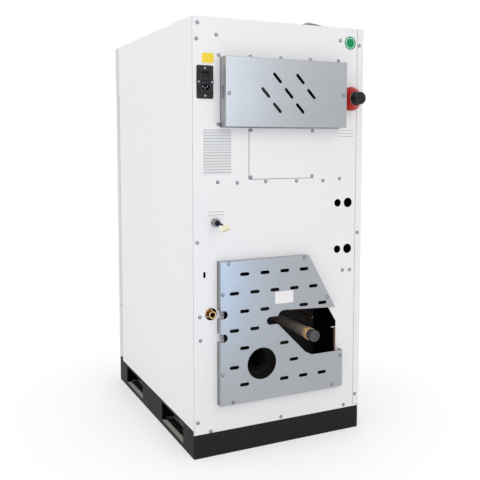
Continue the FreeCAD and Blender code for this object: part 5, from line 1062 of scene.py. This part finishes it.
@dataclass(frozen=True)
class Sticker:
    """One blank sticker or plate on the rear.

    Attributes:
        name: the piece's name.
        middle: (x, z) of its middle in mm.
        size: width and height in mm.
        seat: the solid that it is stuck to.
        finish: its film.
        outline: how it is cut.
        corner: radius of its corners in mm.
        thickness: the film's thickness in mm.
        facets: points round a disc.
        steps: points round a corner.
    """

    name: str
    middle: tuple[float, float]
    size: tuple[float, float]
    seat: str
    finish: Finish
    outline: Outline = Outline.PLATE
    corner: float = 2.0
    thickness: float = 0.3
    facets: int = 48
    steps: int = 6

    def edge(self) -> list[tuple[float, float]]:
        """Gives the outline's points in mm, turning from X to Z."""
        x, z = self.middle
        wide, tall = self.size[0] / 2, self.size[1] / 2
        if self.outline is Outline.DISC:
            return [(x + wide * math.cos(t), z + tall * math.sin(t)) for t in full_turn(self.facets)]
        points = []
        for i, (side, up) in enumerate(((1, 1), (-1, 1), (-1, -1), (1, -1))):
            for step in range(self.steps):
                turn = math.pi / 2 * (i + step / (self.steps - 1))
                points.append((x + side * (wide - self.corner) + self.corner * math.cos(turn),
                               z + up * (tall - self.corner) + self.corner * math.sin(turn)))
        return points

    def build(self, palette: Palette) -> None:
        """Cuts the sticker and sticks it on.

        Args:
            palette: gives the film.
        """
        seat = rear_of(self.seat)
        levels = (seat, seat + self.thickness * MM)
        rings = [[Vector((x * MM, y, z * MM)) for x, z in self.edge()] for y in levels]
        piece = place_piece(self.name, ring_shell(rings), palette.of(self.finish))
        settle(piece, Body.CASING, Slot.PAINT)


@dataclass
class RearStickers:
    """The blank stickers and plates of the rear.

    Attributes:
        disc: (x, z) of the green disc's middle in mm.
    """

    disc: tuple[float, float] = (-236.6, 1220.8)

    def build(self, palette: Palette) -> None:
        """Sticks each one on.

        Args:
            palette: gives the films.
        """
        panel = "rear_panel"
        middle = (self.disc[0] * MM, rear_of(panel) + Sticker.thickness * MM, self.disc[1] * MM)
        green = RingedFilm("green_film", "#0B8B55", "#B9E8D2", (0.3, 0.34), depth_mm=0.01, extras=DULL,
                           middle=middle, ring_mm=15.2, band_mm=2.4)
        stickers = [
            Sticker("rating_plate_blank", (208.75, 889.5), (86.5, 127), panel, PLATE_FILM),
            Sticker("yellow_sticker", (237.0, 1152), (36, 28), panel, YELLOW_FILM, corner=6.0),
            Sticker("green_disc", self.disc, (40, 40), panel, green, Outline.DISC),
            Sticker("small_label_blank", (-226.5, 944.5), (52, 19.5), panel, RULED_FILM),
            Sticker("gland_label_blank", (213.3, 718), (52, 20), panel, RULED_FILM),
            Sticker("cover_label_blank", (1.3, 457.0), (62, 36.6), "lower_cover", WHITE_FILM),
        ]
        for sticker in stickers:
            sticker.build(palette)


@dataclass
class RearShadowStrips:
    """Thin grey strips of the rear, painted shade: shadow lines under the plate and along the covers' edges,
    and the shade in the casing's seams.

    Attributes:
        edge_shade: visible width and height in mm of a shadow strip along an edge.
        bleed: how far the plate's shadow strip runs past its corner, in mm.
        slim: width and height in mm of the line beside the upper cover.
        beside: width in mm of the line beside the lower cover.
        breaks: ends in mm of that line's pieces, at the two sleeves.
        seam_shading: width and height in mm of the strip of painted shade along the side panel's flange.
        lap: how far that strip lies over the flange and is set below its ends, in mm.
        foot: heights in mm of that strip's foot, from the flange's lower edge.
        foot_gap: distance in mm of that foot from the casing's corner.
        corner: width and height in mm of the strip of painted shade at the other corner.
        corner_ends: how far in mm that strip stays inside the rear panel's ends.
    """

    edge_shade: tuple[float, float] = (1.4, 0.6)
    bleed: float = 0.3
    slim: tuple[float, float] = (0.6, 0.4)
    beside: float = 1.1
    breaks: tuple[float, ...] = (342.0, 366.0, 410.6, 434.6)
    seam_shading: tuple[float, float] = (0.9, 0.25)
    lap: float = 0.3
    foot: tuple[float, float] = (-0.6, 0.1)
    foot_gap: float = 0.4
    corner: tuple[float, float] = (0.6, 0.15)
    corner_ends: tuple[float, float] = (0.5, 0.3)

    def bar(self, left: float, wide: float, ends: tuple[float, float], rise: float) -> tuple:
        """Places one bar on the rear panel.

        Args:
            left: its lowest X in mm.
            wide: its width in mm.
            ends: its lowest and highest Z in mm.
            rise: how far it stands out of the panel, in mm.

        Returns:
            Its low and high corners in mm.
        """
        rear = rear_of("rear_panel") / MM
        return (left, rear, ends[0]), (left + wide, rear + rise, ends[1])

    def under(self, node: str, bleed: float = 0.0) -> tuple:
        """Places the shadow strip along a sheet's lower edge.

        Args:
            node: the sheet's name.
            bleed: how far in mm the line runs past the sheet's right corner.

        Returns:
            The line's low and high corners in mm.
        """
        low, high = corners_mm(node)
        wide, rise = self.edge_shade
        return self.bar(low.x - bleed, high.x - low.x + bleed, (low.z - wide, low.z), rise)

    def strips(self) -> dict[str, list[tuple]]:
        """Works out the strips of painted shade from the sheets along whose edges they lie.

        Returns:
            Bars by piece name, as low and high corners in mm.
        """
        wide, rise = self.edge_shade
        plate_low, plate_high = corners_mm("inspection_plate")
        upper_low, upper_high = corners_mm("upper_cover")
        lower_low, lower_high = corners_mm("lower_cover")
        flange_low, flange_high = corners_mm("side_panel_right")
        panel_low, panel_high = corners_mm("rear_panel")
        seam = flange_high.x - self.lap
        tall = (flange_low.z - self.lap, flange_high.z - self.lap)
        foot = tuple(flange_low.z + step for step in self.foot)
        foot_left = flange_low.x + self.foot_gap
        side = corners_mm("side_panel_left")[0].x
        corner = (panel_low.z + self.corner_ends[0], panel_high.z - self.corner_ends[1])
        ends = (lower_low.z, *self.breaks, lower_high.z)
        return {
            "plate_gasket": [
                self.bar(plate_high.x, wide, (plate_low.z - wide, plate_high.z), rise),
                self.under("inspection_plate", self.bleed),
            ],
            "upper_gasket": [
                self.bar(upper_high.x, self.slim[0], (upper_low.z - wide, upper_high.z), self.slim[1]),
                self.under("upper_cover"),
            ],
            "flange_bead": [
                self.bar(seam, self.seam_shading[0], tall, self.seam_shading[1]),
                self.bar(foot_left, seam - foot_left, foot, self.seam_shading[1]),
            ],
            "corner_bead": [self.bar(side, self.corner[0], corner, self.corner[1])],
            "cover_gasket": [
                self.bar(lower_high.x, self.beside, span, rise) for span in zip(ends[::2], ends[1::2])
            ],
        }

    def build(self, palette: Palette) -> None:
        """Lays every strip.

        Args:
            palette: gives the grey of the painted shade.
        """
        for name, boxes in self.strips().items():
            settle(place_piece(name, bar_mesh(name, boxes), palette.of(SEAM_SHADOW_GREY)), Body.CASING, Slot.RUBBER)


@dataclass
class OpeningInsides:
    """What sits behind and below the openings: black sheets of painted shade inside, a fibre strip at the
    notch, pale plates of painted light on the plinth's sills.

    Attributes:
        gap: distance in mm between a side shade sheet and its panel.
        thick: the side shade sheets' thickness in mm.
        tops: heights in mm of the right and the left side shade sheet.
        return_top: height in mm of the shade sheets' returns to the boiler.
        foot: lowest Z in mm of the side shade sheets.
        reach: Y in mm of the side shade sheets' rear edges.
        lap: how far in mm a return laps over the boiler's shell.
        behind: distance in mm between a shade sheet and what is in front of it.
        rear_thick: thickness in mm of the shade sheet on the rear wool.
        rear_span: lowest and highest Z in mm of that sheet.
        slot: black sheet behind the slot in the upper cover's wall, painted shade there: its two X in mm
            inwards from the wall, its two Y in mm from the rear panel and half its height in mm.
        slope: corners in mm of the black sheet of painted shade under the lower cover's slanted side, as (x,
            z).
        slope_thick: that sheet's thickness in mm.
        edge: the fibre strip at the notch's far side, as low and high corners in mm.
        pin: the pale pin on that strip, in the same way.
        pin_soft: how round the pin's edges are.
        lit_sill_plate: a pale plate on a fork opening's sill, painted light where light falls on the floor
            inside, as low and high distances in mm from the middle.
    """

    gap: float = 0.1
    thick: float = 2.0
    tops: tuple[float, float] = (765.0, 700.0)
    return_top: float = 700.0
    foot: float = 96.0
    reach: float = 366.0
    lap: float = 1.0
    behind: float = 0.6
    rear_thick: float = 1.0
    rear_span: tuple[float, float] = (442.0, 742.0)
    slot: tuple = ((6.0, 4.0), (4.0, 26.0), 22.5)
    slope: tuple = ((-72.7, 557.3), (-81.5, 574.0), (-179.5, 405.0), (-166.4, 405.0))
    slope_thick: float = 1.0
    edge: tuple = ((-196.0, 381.0, 196.0), (-192.6, 388.6, 337.0))
    pin: tuple = ((-195.5, 384.0, 337.0), (-181.0, 386.6, 339.6))
    pin_soft: float = 0.4
    lit_sill_plate: tuple = ((268.0, 104.0, 14.0), (282.8, 296.0, 14.6))

    def shade_sheet_boxes(self) -> list[tuple]:
        """Works out the black sheets of painted shade from the solids that they stand behind.

        Returns:
            Sheets as low and high corners in mm: two on each side, one on the rear wool, one at the slot.
        """
        sheets = []
        outer = corners_mm("side_panel_left")[0].x - self.gap
        shell = corners_mm("boiler_jacket")[1]
        near = shell.y + self.behind
        far = near + self.thick
        for side, top in zip((-1, 1), self.tops):
            left, right = sorted((side * (outer - self.thick), side * outer))
            sheets.append(((left, far, self.foot), (right, self.reach, top)))
            left, right = sorted((side * (shell.x - self.lap), side * outer))
            sheets.append(((left, near, self.foot), (right, far, self.return_top)))
        low, high = corners_mm("boiler_insulation")
        near = high.y + self.behind
        bottom, top = self.rear_span
        sheets.append(((low.x, near, bottom), (high.x, near + self.rear_thick, top)))
        low, high = corners_mm("upper_cover")
        inwards, outwards, half = self.slot
        rear, middle = rear_of("rear_panel") / MM, (low.z + high.z) / 2
        sheets.append(((high.x - inwards[0], rear + outwards[0], middle - half),
                       (high.x - inwards[1], rear + outwards[1], middle + half)))
        return sheets

    def lit_sill_plates(self) -> list[tuple]:
        """Mirrors the pale plate of painted light to the four sills.

        Returns:
            Plates as low and high corners in mm.
        """
        plates = []
        (x_in, y_in, low), (x_out, y_out, high) = self.lit_sill_plate
        for side in (1, -1):
            left, right = sorted((side * x_in, side * x_out))
            for end in (1, -1):
                front, back = sorted((end * y_in, end * y_out))
                plates.append(((left, front, low), (right, back, high)))
        return plates

    def build(self, palette: Palette) -> None:
        """Lays the black sheets of painted shade, the strip, and the pale sill plates of painted light.

        Args:
            palette: gives the materials.
        """
        rear = rear_of("rear_panel")
        levels = (rear, rear + self.slope_thick * MM)
        under = [[Vector((x * MM, y, z * MM)) for x, z in self.slope] for y in levels]
        pieces = [
            # Black sheets: painted shade where the casing's inside lies in shadow.
            place_piece("fan_felt", bar_mesh("fan_felt", self.shade_sheet_boxes()), palette.of(SHADE_BLACK)),
            place_piece("slope_felt", ring_shell(under), palette.of(SHADE_BLACK)),
            place_piece("notch_edge", bar_mesh("notch_edge", [self.edge]), palette.of(EDGE_FIBRE)),
            place_piece("notch_pin", bar_mesh("notch_pin", [self.pin], self.pin_soft), palette.of(CREAM)),
        ]
        for piece in pieces:
            settle(piece, Body.CASING, Slot.RUBBER)
        # Pale plates on the sills: painted light where light falls on the floor inside the fork openings.
        lit_sill_plates = place_piece("fork_treads", bar_mesh("fork_treads", self.lit_sill_plates()), palette.of(SILL_LIGHT_GREY))
        settle(lit_sill_plates, Body.CASING, Slot.STEEL)


@dataclass
class ValveTrim:
    """Pale ring between the relief valve's red bonnet and its knob.

    Attributes:
        middle: (x, z) of the valve's axis.
        inner: the ring's inner radius.
        outer: its outer radius.
        span: Y of its two faces.
        soft: width of its chamfer.
        facets: sides of the round.
    """

    middle: tuple[float, float] = (-0.240, 1.051)
    inner: float = 13 * MM
    outer: float = 21.4 * MM
    span: tuple[float, float] = (0.4191, 0.421)
    soft: float = 0.5 * MM
    facets: int = 48

    def build(self, palette: Palette) -> None:
        """Turns the ring.

        Args:
            palette: gives the plastic.
        """
        near, far = self.span
        profile = [(self.inner, near), (self.outer, near), (self.outer, far - self.soft),
                   (self.outer - self.soft, far), (self.inner, far)]
        ring = turned_shell(profile, self.middle, self.facets, hollow=True)
        settle(place_piece("valve_trim_ring", ring, palette.of(BUTTON)), Body.CASING, Slot.PLASTIC)


@dataclass
class DoorSeal:
    """Braided rope pressed round the door's plug.

    Attributes:
        inset: how much narrower and lower the rope's middle line is than the solid seal.
        corner: radius at that line's corners.
        rope: half the rope's width.
        press: how flat the rope is pressed.
        step: distance between the rope's rings.
        facets: sides of the rope.
        bends: points round a corner.
    """

    inset: float = 12 * MM
    corner: float = 18 * MM
    rope: float = 5.9 * MM
    press: float = 0.43
    step: float = 4 * MM
    facets: int = 20
    bends: int = 8

    def loop(self) -> bpy.types.NodeTree:
        """Builds the tree that sweeps the rope round the loop and marks its length and turn.

        Returns:
            The tree.
        """
        kinds = {label: "NodeSocketFloat" for label in ("Width", "Height", "Corner", "Rope", "Step")}
        kinds |= {"Press": "NodeSocketVector", "Middle": "NodeSocketVector", "Finish": "NodeSocketMaterial"}
        tree = new_tree("rope_loop", kinds)
        given = add_node(tree, "NodeGroupInput").outputs
        fed = {"Width": given["Width"], "Height": given["Height"]}
        frame = add_node(tree, "GeometryNodeCurvePrimitiveQuadrilateral", None, fed).outputs[0]
        fed = {"Curve": frame, "Radius": given["Corner"]}
        round_off = {"mode": "POLY", "Count": self.bends}
        bent = add_node(tree, "GeometryNodeFilletCurve", round_off, fed).outputs[0]
        fed = {"Curve": bent, "Length": given["Step"]}
        path = add_node(tree, "GeometryNodeResampleCurve", {"mode": "LENGTH"}, fed).outputs[0]
        run = add_node(tree, "GeometryNodeSplineParameter").outputs
        named = {"data_type": "FLOAT", "domain": "POINT"}
        fed = {"Geometry": path, "Value": run["Length"]}
        path = add_node(tree, "GeometryNodeStoreNamedAttribute", named | {"Name": "along"}, fed).outputs[0]
        fed = {"Radius": given["Rope"]}
        sides = {"Resolution": self.facets}
        ring = add_node(tree, "GeometryNodeCurvePrimitiveCircle", sides, fed).outputs[0]
        fed = {"Geometry": ring, "Value": run["Factor"]}
        ring = add_node(tree, "GeometryNodeStoreNamedAttribute", named | {"Name": "around"}, fed).outputs[0]
        fed = {"Curve": path, "Profile Curve": ring}
        tube = add_node(tree, "GeometryNodeCurveToMesh", None, fed).outputs[0]
        fed = {"Geometry": tube, "Scale": given["Press"]}
        flat = add_node(tree, "GeometryNodeTransform", None, fed).outputs[0]
        fed = {"Geometry": flat, "Translation": given["Middle"]}
        stood = add_node(tree, "GeometryNodeTransform", {"Rotation": (math.pi / 2, 0, 0)}, fed).outputs[0]
        smooth = add_node(tree, "GeometryNodeSetShadeSmooth", None, {"Geometry": stood}).outputs[0]
        end_tree(tree, smooth, given["Finish"])
        return tree

    def build(self, palette: Palette) -> None:
        """Lays the rope and lets it stand for the solid seal.

        Args:
            palette: gives the braid.
        """
        low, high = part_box("door_seal")
        size = high - low
        values = {"Width": size.x - self.inset, "Height": size.z - self.inset, "Middle": (low + high) / 2}
        values |= {"Corner": self.corner, "Rope": self.rope, "Step": self.step}
        values |= {"Press": (1.0, 1.0, self.press), "Finish": palette.of(ROPE)}
        rope = grow("rope_seal", bpy.data.meshes.new("rope_start"), self.loop(), values)
        settle(rope, Body.DOOR, Slot.ROPE, "door_seal")


@dataclass
class BoilerWool:
    """Stone-wool slabs on the sides and rear of the boiler's shell.

    Attributes:
        rear_span: lowest and highest Z of the rear slab, in mm.
        slack: how far the slabs stay inside the solid wool, in mm.
        soft: radius of the slabs' edges, in mm.
        grid: spacing of the lumps' points, in mm.
        halvings: most times that a long edge is halved.
        lump: height of the lumps, in mm.
        lump_size: distance between lumps, in mm.
    """

    rear_span: tuple[float, float] = (445.0, 740.0)
    slack: float = 1.6
    soft: float = 5.0
    grid: float = 24.0
    halvings: int = 5
    lump: float = 1.3
    lump_size: float = 55.0

    def slabs(self) -> list[tuple]:
        """Works out the slabs from the solid wool and the shell inside it.

        Returns:
            The right, left and rear slab as low and high corners in mm.
        """
        low, high = corners_mm("boiler_insulation")
        shell = corners_mm("boiler_jacket")[1]
        bottom, top = self.rear_span
        return [
            ((low.x, low.y, low.z), (-shell.x, shell.y, high.z)),
            ((shell.x, low.y, low.z), (high.x, shell.y, high.z)),
            ((low.x, shell.y, bottom), (high.x, high.y, top)),
        ]

    def slab(self, wool: bmesh.types.BMesh, low: tuple, high: tuple) -> None:
        """Adds one slab with soft edges and points for the lumps.

        Args:
            wool: the mesh that gets it.
            low: its lowest corner in mm.
            high: its highest corner in mm.
        """
        edges = add_block(wool, [end + self.slack for end in low], [end - self.slack for end in high])
        bmesh.ops.bevel(wool, geom=edges, offset=self.soft * MM, segments=3, profile=0.5, affect="EDGES")
        for _ in range(self.halvings):
            long = [edge for edge in wool.edges if edge.calc_length() > 2 * self.grid * MM]
            if not long:
                break
            bmesh.ops.subdivide_edges(wool, edges=long, cuts=1, use_grid_fill=True)

    def build(self, palette: Palette) -> None:
        """Builds the slabs and lets them stand for the solid wool.

        Args:
            palette: gives the wool.
        """
        wool = bmesh.new()
        for low, high in self.slabs():
            self.slab(wool, low, high)
        wool.normal_update()
        for vert in wool.verts:
            rise = noise.noise(vert.co * per_metre(self.lump_size)) * self.lump * MM
            vert.co += vert.normal * rise
        bmesh.ops.recalc_face_normals(wool, faces=wool.faces)
        mesh = bpy.data.meshes.new("boiler_wool")
        wool.to_mesh(mesh)
        wool.free()
        mesh.shade_smooth()
        piece = place_piece("boiler_wool", mesh, palette.of(WOOL))
        settle(piece, Body.CASING, Slot.WOOL, "boiler_insulation")


@dataclass(frozen=True)
class Lamp:
    """One soft lamp of the studio.

    Attributes:
        name: the lamp's name.
        place: where it hangs.
        aim: the point that it faces.
        size: its width and height.
        share: how much light it adds to a white surface that faces it.
        colour: its tint, sRGB hex.
        sheen: whether it shows in reflections only, as a tinted window does on bare metal.
    """

    name: str
    place: tuple[float, float, float]
    aim: tuple[float, float, float]
    size: tuple[float, float]
    share: float
    colour: str
    sheen: bool = False

    def hang(self) -> None:
        """Adds the lamp to the scene, out of the camera's sight."""
        light = bpy.data.lights.new(self.name, "AREA")
        light.shape = "RECTANGLE"
        light.size, light.size_y = self.size
        light.color = linear(self.colour)[:3]
        way = Vector(self.aim) - Vector(self.place)
        # A lamp of power P makes a white surface at distance d as bright as P / (pi * d) squared.
        light.energy = self.share * math.pi ** 2 * way.length_squared
        holder = bpy.data.objects.new(self.name, light)
        holder.location = self.place
        holder.rotation_euler = way.to_track_quat("-Z", "Y").to_euler()
        holder.visible_camera = False
        holder.visible_diffuse = not self.sheen
        bpy.context.scene.collection.objects.link(holder)


@dataclass
class Studio:
    """Plain white studio: floor, soft lamps, even surroundings and the photograph's camera.

    Attributes:
        frame_px: width of the photograph in pixels.
        lens_px: the camera's focal length in those pixels.
        sensor: the camera's sensor width in mm.
        eye: the camera's place.
        heading: its turn about the vertical, in degrees.
        pitch: how far it looks down, in degrees.
        shift: how far the frame is shifted down, in frames.
        ambient: how much light the surroundings give.
        paper: the floor's colour, sRGB hex.
        floor_half: half the floor's width.
        fade: distances from the middle between which the floor fades into the background.
        least_fade: how much it has faded at the first of them.
        inset: how far inside the plinth's edge the floor stays dark.
        lamps: the soft lamps.
    """

    frame_px: float = 480.0
    lens_px: float = 697.3
    sensor: float = 36.0
    eye: tuple[float, float, float] = (0.9998, 2.2083, 0.9156)
    heading: float = 154.635
    pitch: float = 4.807
    shift: float = 0.08
    ambient: float = 0.69
    paper: str = "#FCFCFC"
    floor_half: float = 9.0
    fade: tuple[float, float] = (0.42, 0.85)
    least_fade: float = 0.5
    inset: float = 0.2 * MM
    lamps: tuple[Lamp, ...] = (
        Lamp("rear_softbox", (-0.7, 3.4, 2.9), (0.0, 0.3, 0.7), (2.2, 2.2), 0.165, "#FDFDFF"),
        Lamp("side_softbox", (3.8, 0.6, 2.2), (0.2, 0.0, 0.6), (2.4, 2.4), 0.22, "#FFFFFF"),
        Lamp("front_fill", (0.9, 3.3, 1.1), (-0.05, 0.3, 0.5), (0.8, 0.8), 0.085, "#FCFCFF"),
        Lamp("door_softbox", (-1.6, -3.6, 2.4), (0.0, -0.3, 0.6), (2.2, 2.2), 0.17, "#FFFFFF"),
        Lamp("window_high", (-0.05, 1.2, 1.12), (0.19, 0.43, 1.06), (0.3, 0.6), 0.13, "#DCEAFF", sheen=True),
        Lamp("window_low", (0.02, 1.2, 0.4), (0.19, 0.42, 0.5), (0.25, 0.4), 0.19, "#A4CEFF", sheen=True),
    )

    def camera(self) -> None:
        """Sets up the camera that took the photograph."""
        lens = bpy.data.cameras.new("photo_camera")
        lens.sensor_width = self.sensor
        lens.lens = self.lens_px / self.frame_px * self.sensor
        lens.shift_y = -self.shift
        lens.clip_start, lens.clip_end = 0.05, 100.0
        camera = bpy.data.objects.new("photo_camera", lens)
        camera.location = self.eye
        camera.rotation_euler = (math.radians(90 - self.pitch), 0.0, math.radians(self.heading))
        bpy.context.scene.collection.objects.link(camera)
        bpy.context.scene.camera = camera

    def seen(self, tree: bpy.types.NodeTree) -> Socket:
        """Marks rays that show the background: the camera's own, reflected and refracted ones.

        Args:
            tree: a material's or the world's tree.

        Returns:
            A socket that is 1 for those rays.
        """
        path = add_node(tree, "ShaderNodeLightPath").outputs
        fed = {0: path["Is Camera Ray"], 1: path["Is Glossy Ray"]}
        shown = add_node(tree, "ShaderNodeMath", {"operation": "MAXIMUM"}, fed).outputs[0]
        fed = {0: shown, 1: path["Is Transmission Ray"]}
        return add_node(tree, "ShaderNodeMath", {"operation": "MAXIMUM"}, fed).outputs[0]

    def surroundings(self) -> None:
        """Makes the world: white where it shows, and a little dimmer as light."""
        world = bpy.data.worlds.new("white_room")
        bpy.context.scene.world = world
        world.use_nodes = True
        tree = world.node_tree
        tree.nodes.clear()
        even = {"Color": (1, 1, 1, 1)}
        light = add_node(tree, "ShaderNodeBackground", even | {"Strength": self.ambient}).outputs[0]
        white = add_node(tree, "ShaderNodeBackground", even | {"Strength": 1.0}).outputs[0]
        fed = {0: self.seen(tree), 1: light, 2: white}
        both = add_node(tree, "ShaderNodeMixShader", None, fed).outputs[0]
        add_node(tree, "ShaderNodeOutputWorld", None, {"Surface": both})

    def floor(self) -> None:
        """Lays a white floor that takes the shadow and fades into the background."""
        material = bpy.data.materials.new("white_floor_paper")
        material.use_nodes = True
        tree = material.node_tree
        tree.nodes.clear()
        place = add_node(tree, "ShaderNodeTexCoord").outputs["Object"]
        away = add_node(tree, "ShaderNodeVectorMath", {"operation": "LENGTH"}, {0: place}).outputs["Value"]
        span = {"interpolation_type": "SMOOTHSTEP", "From Min": self.fade[0], "From Max": self.fade[1]}
        span |= {"To Min": self.least_fade}
        fade = add_node(tree, "ShaderNodeMapRange", span, {"Value": away}).outputs[0]
        reach = add_node(tree, "ShaderNodeVectorMath", {"operation": "ABSOLUTE"}, {0: place}).outputs[0]
        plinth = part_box("plinth")[1]
        less = {"operation": "SUBTRACT", 1: (plinth.x - self.inset, plinth.y - self.inset, 0.0)}
        past = add_node(tree, "ShaderNodeVectorMath", less, {0: reach}).outputs[0]
        sides = add_node(tree, "ShaderNodeSeparateXYZ", None, {0: past}).outputs
        fed = {0: sides["X"], 1: sides["Y"]}
        most = add_node(tree, "ShaderNodeMath", {"operation": "MAXIMUM"}, fed).outputs[0]
        clear = add_node(tree, "ShaderNodeMath", {"operation": "GREATER_THAN", 1: 0.0}, {0: most}).outputs[0]
        fade = add_node(tree, "ShaderNodeMath", {"operation": "MULTIPLY"}, {0: fade, 1: clear}).outputs[0]
        fed = {0: fade, 1: self.seen(tree)}
        fade = add_node(tree, "ShaderNodeMath", {"operation": "MULTIPLY"}, fed).outputs[0]
        matt = {"Base Color": linear(self.paper), "Roughness": 0.9}
        paper = add_node(tree, "ShaderNodeBsdfPrincipled", matt).outputs[0]
        glow = add_node(tree, "ShaderNodeEmission", {"Strength": 1.0}).outputs[0]
        both = add_node(tree, "ShaderNodeMixShader", None, {0: fade, 1: paper, 2: glow}).outputs[0]
        add_node(tree, "ShaderNodeOutputMaterial", None, {"Surface": both})
        mesh = bpy.data.meshes.new("floor")
        half = self.floor_half
        mesh.from_pydata([(-half, -half, 0), (half, -half, 0), (half, half, 0), (-half, half, 0)], [],
                         [(0, 1, 2, 3)])
        place_piece("floor", mesh, material)

    def build(self) -> None:
        """Sets up camera, floor, lamps and surroundings."""
        bpy.context.scene.view_settings.view_transform = "Standard"
        self.camera()
        self.surroundings()
        self.floor()
        for lamp in self.lamps:
            lamp.hang()
        LOG.info("studio ready")


def main() -> None:
    """Loads the frame, dresses it and adds the pieces in order."""
    logging.basicConfig(level=logging.INFO, format="%(name)s: %(message)s")
    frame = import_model()
    palette = Palette()
    Studio().build()
    ProbeLead().build(palette)
    palette.dress(frame["nodes"])
    CasingScrews().build(palette)
    RearStickers().build(palette)
    RearShadowStrips().build(palette)
    OpeningInsides().build(palette)
    ValveTrim().build(palette)
    DoorSeal().build(palette)
    BoilerWool().build(palette)


if __name__ == "__main__":
    main()
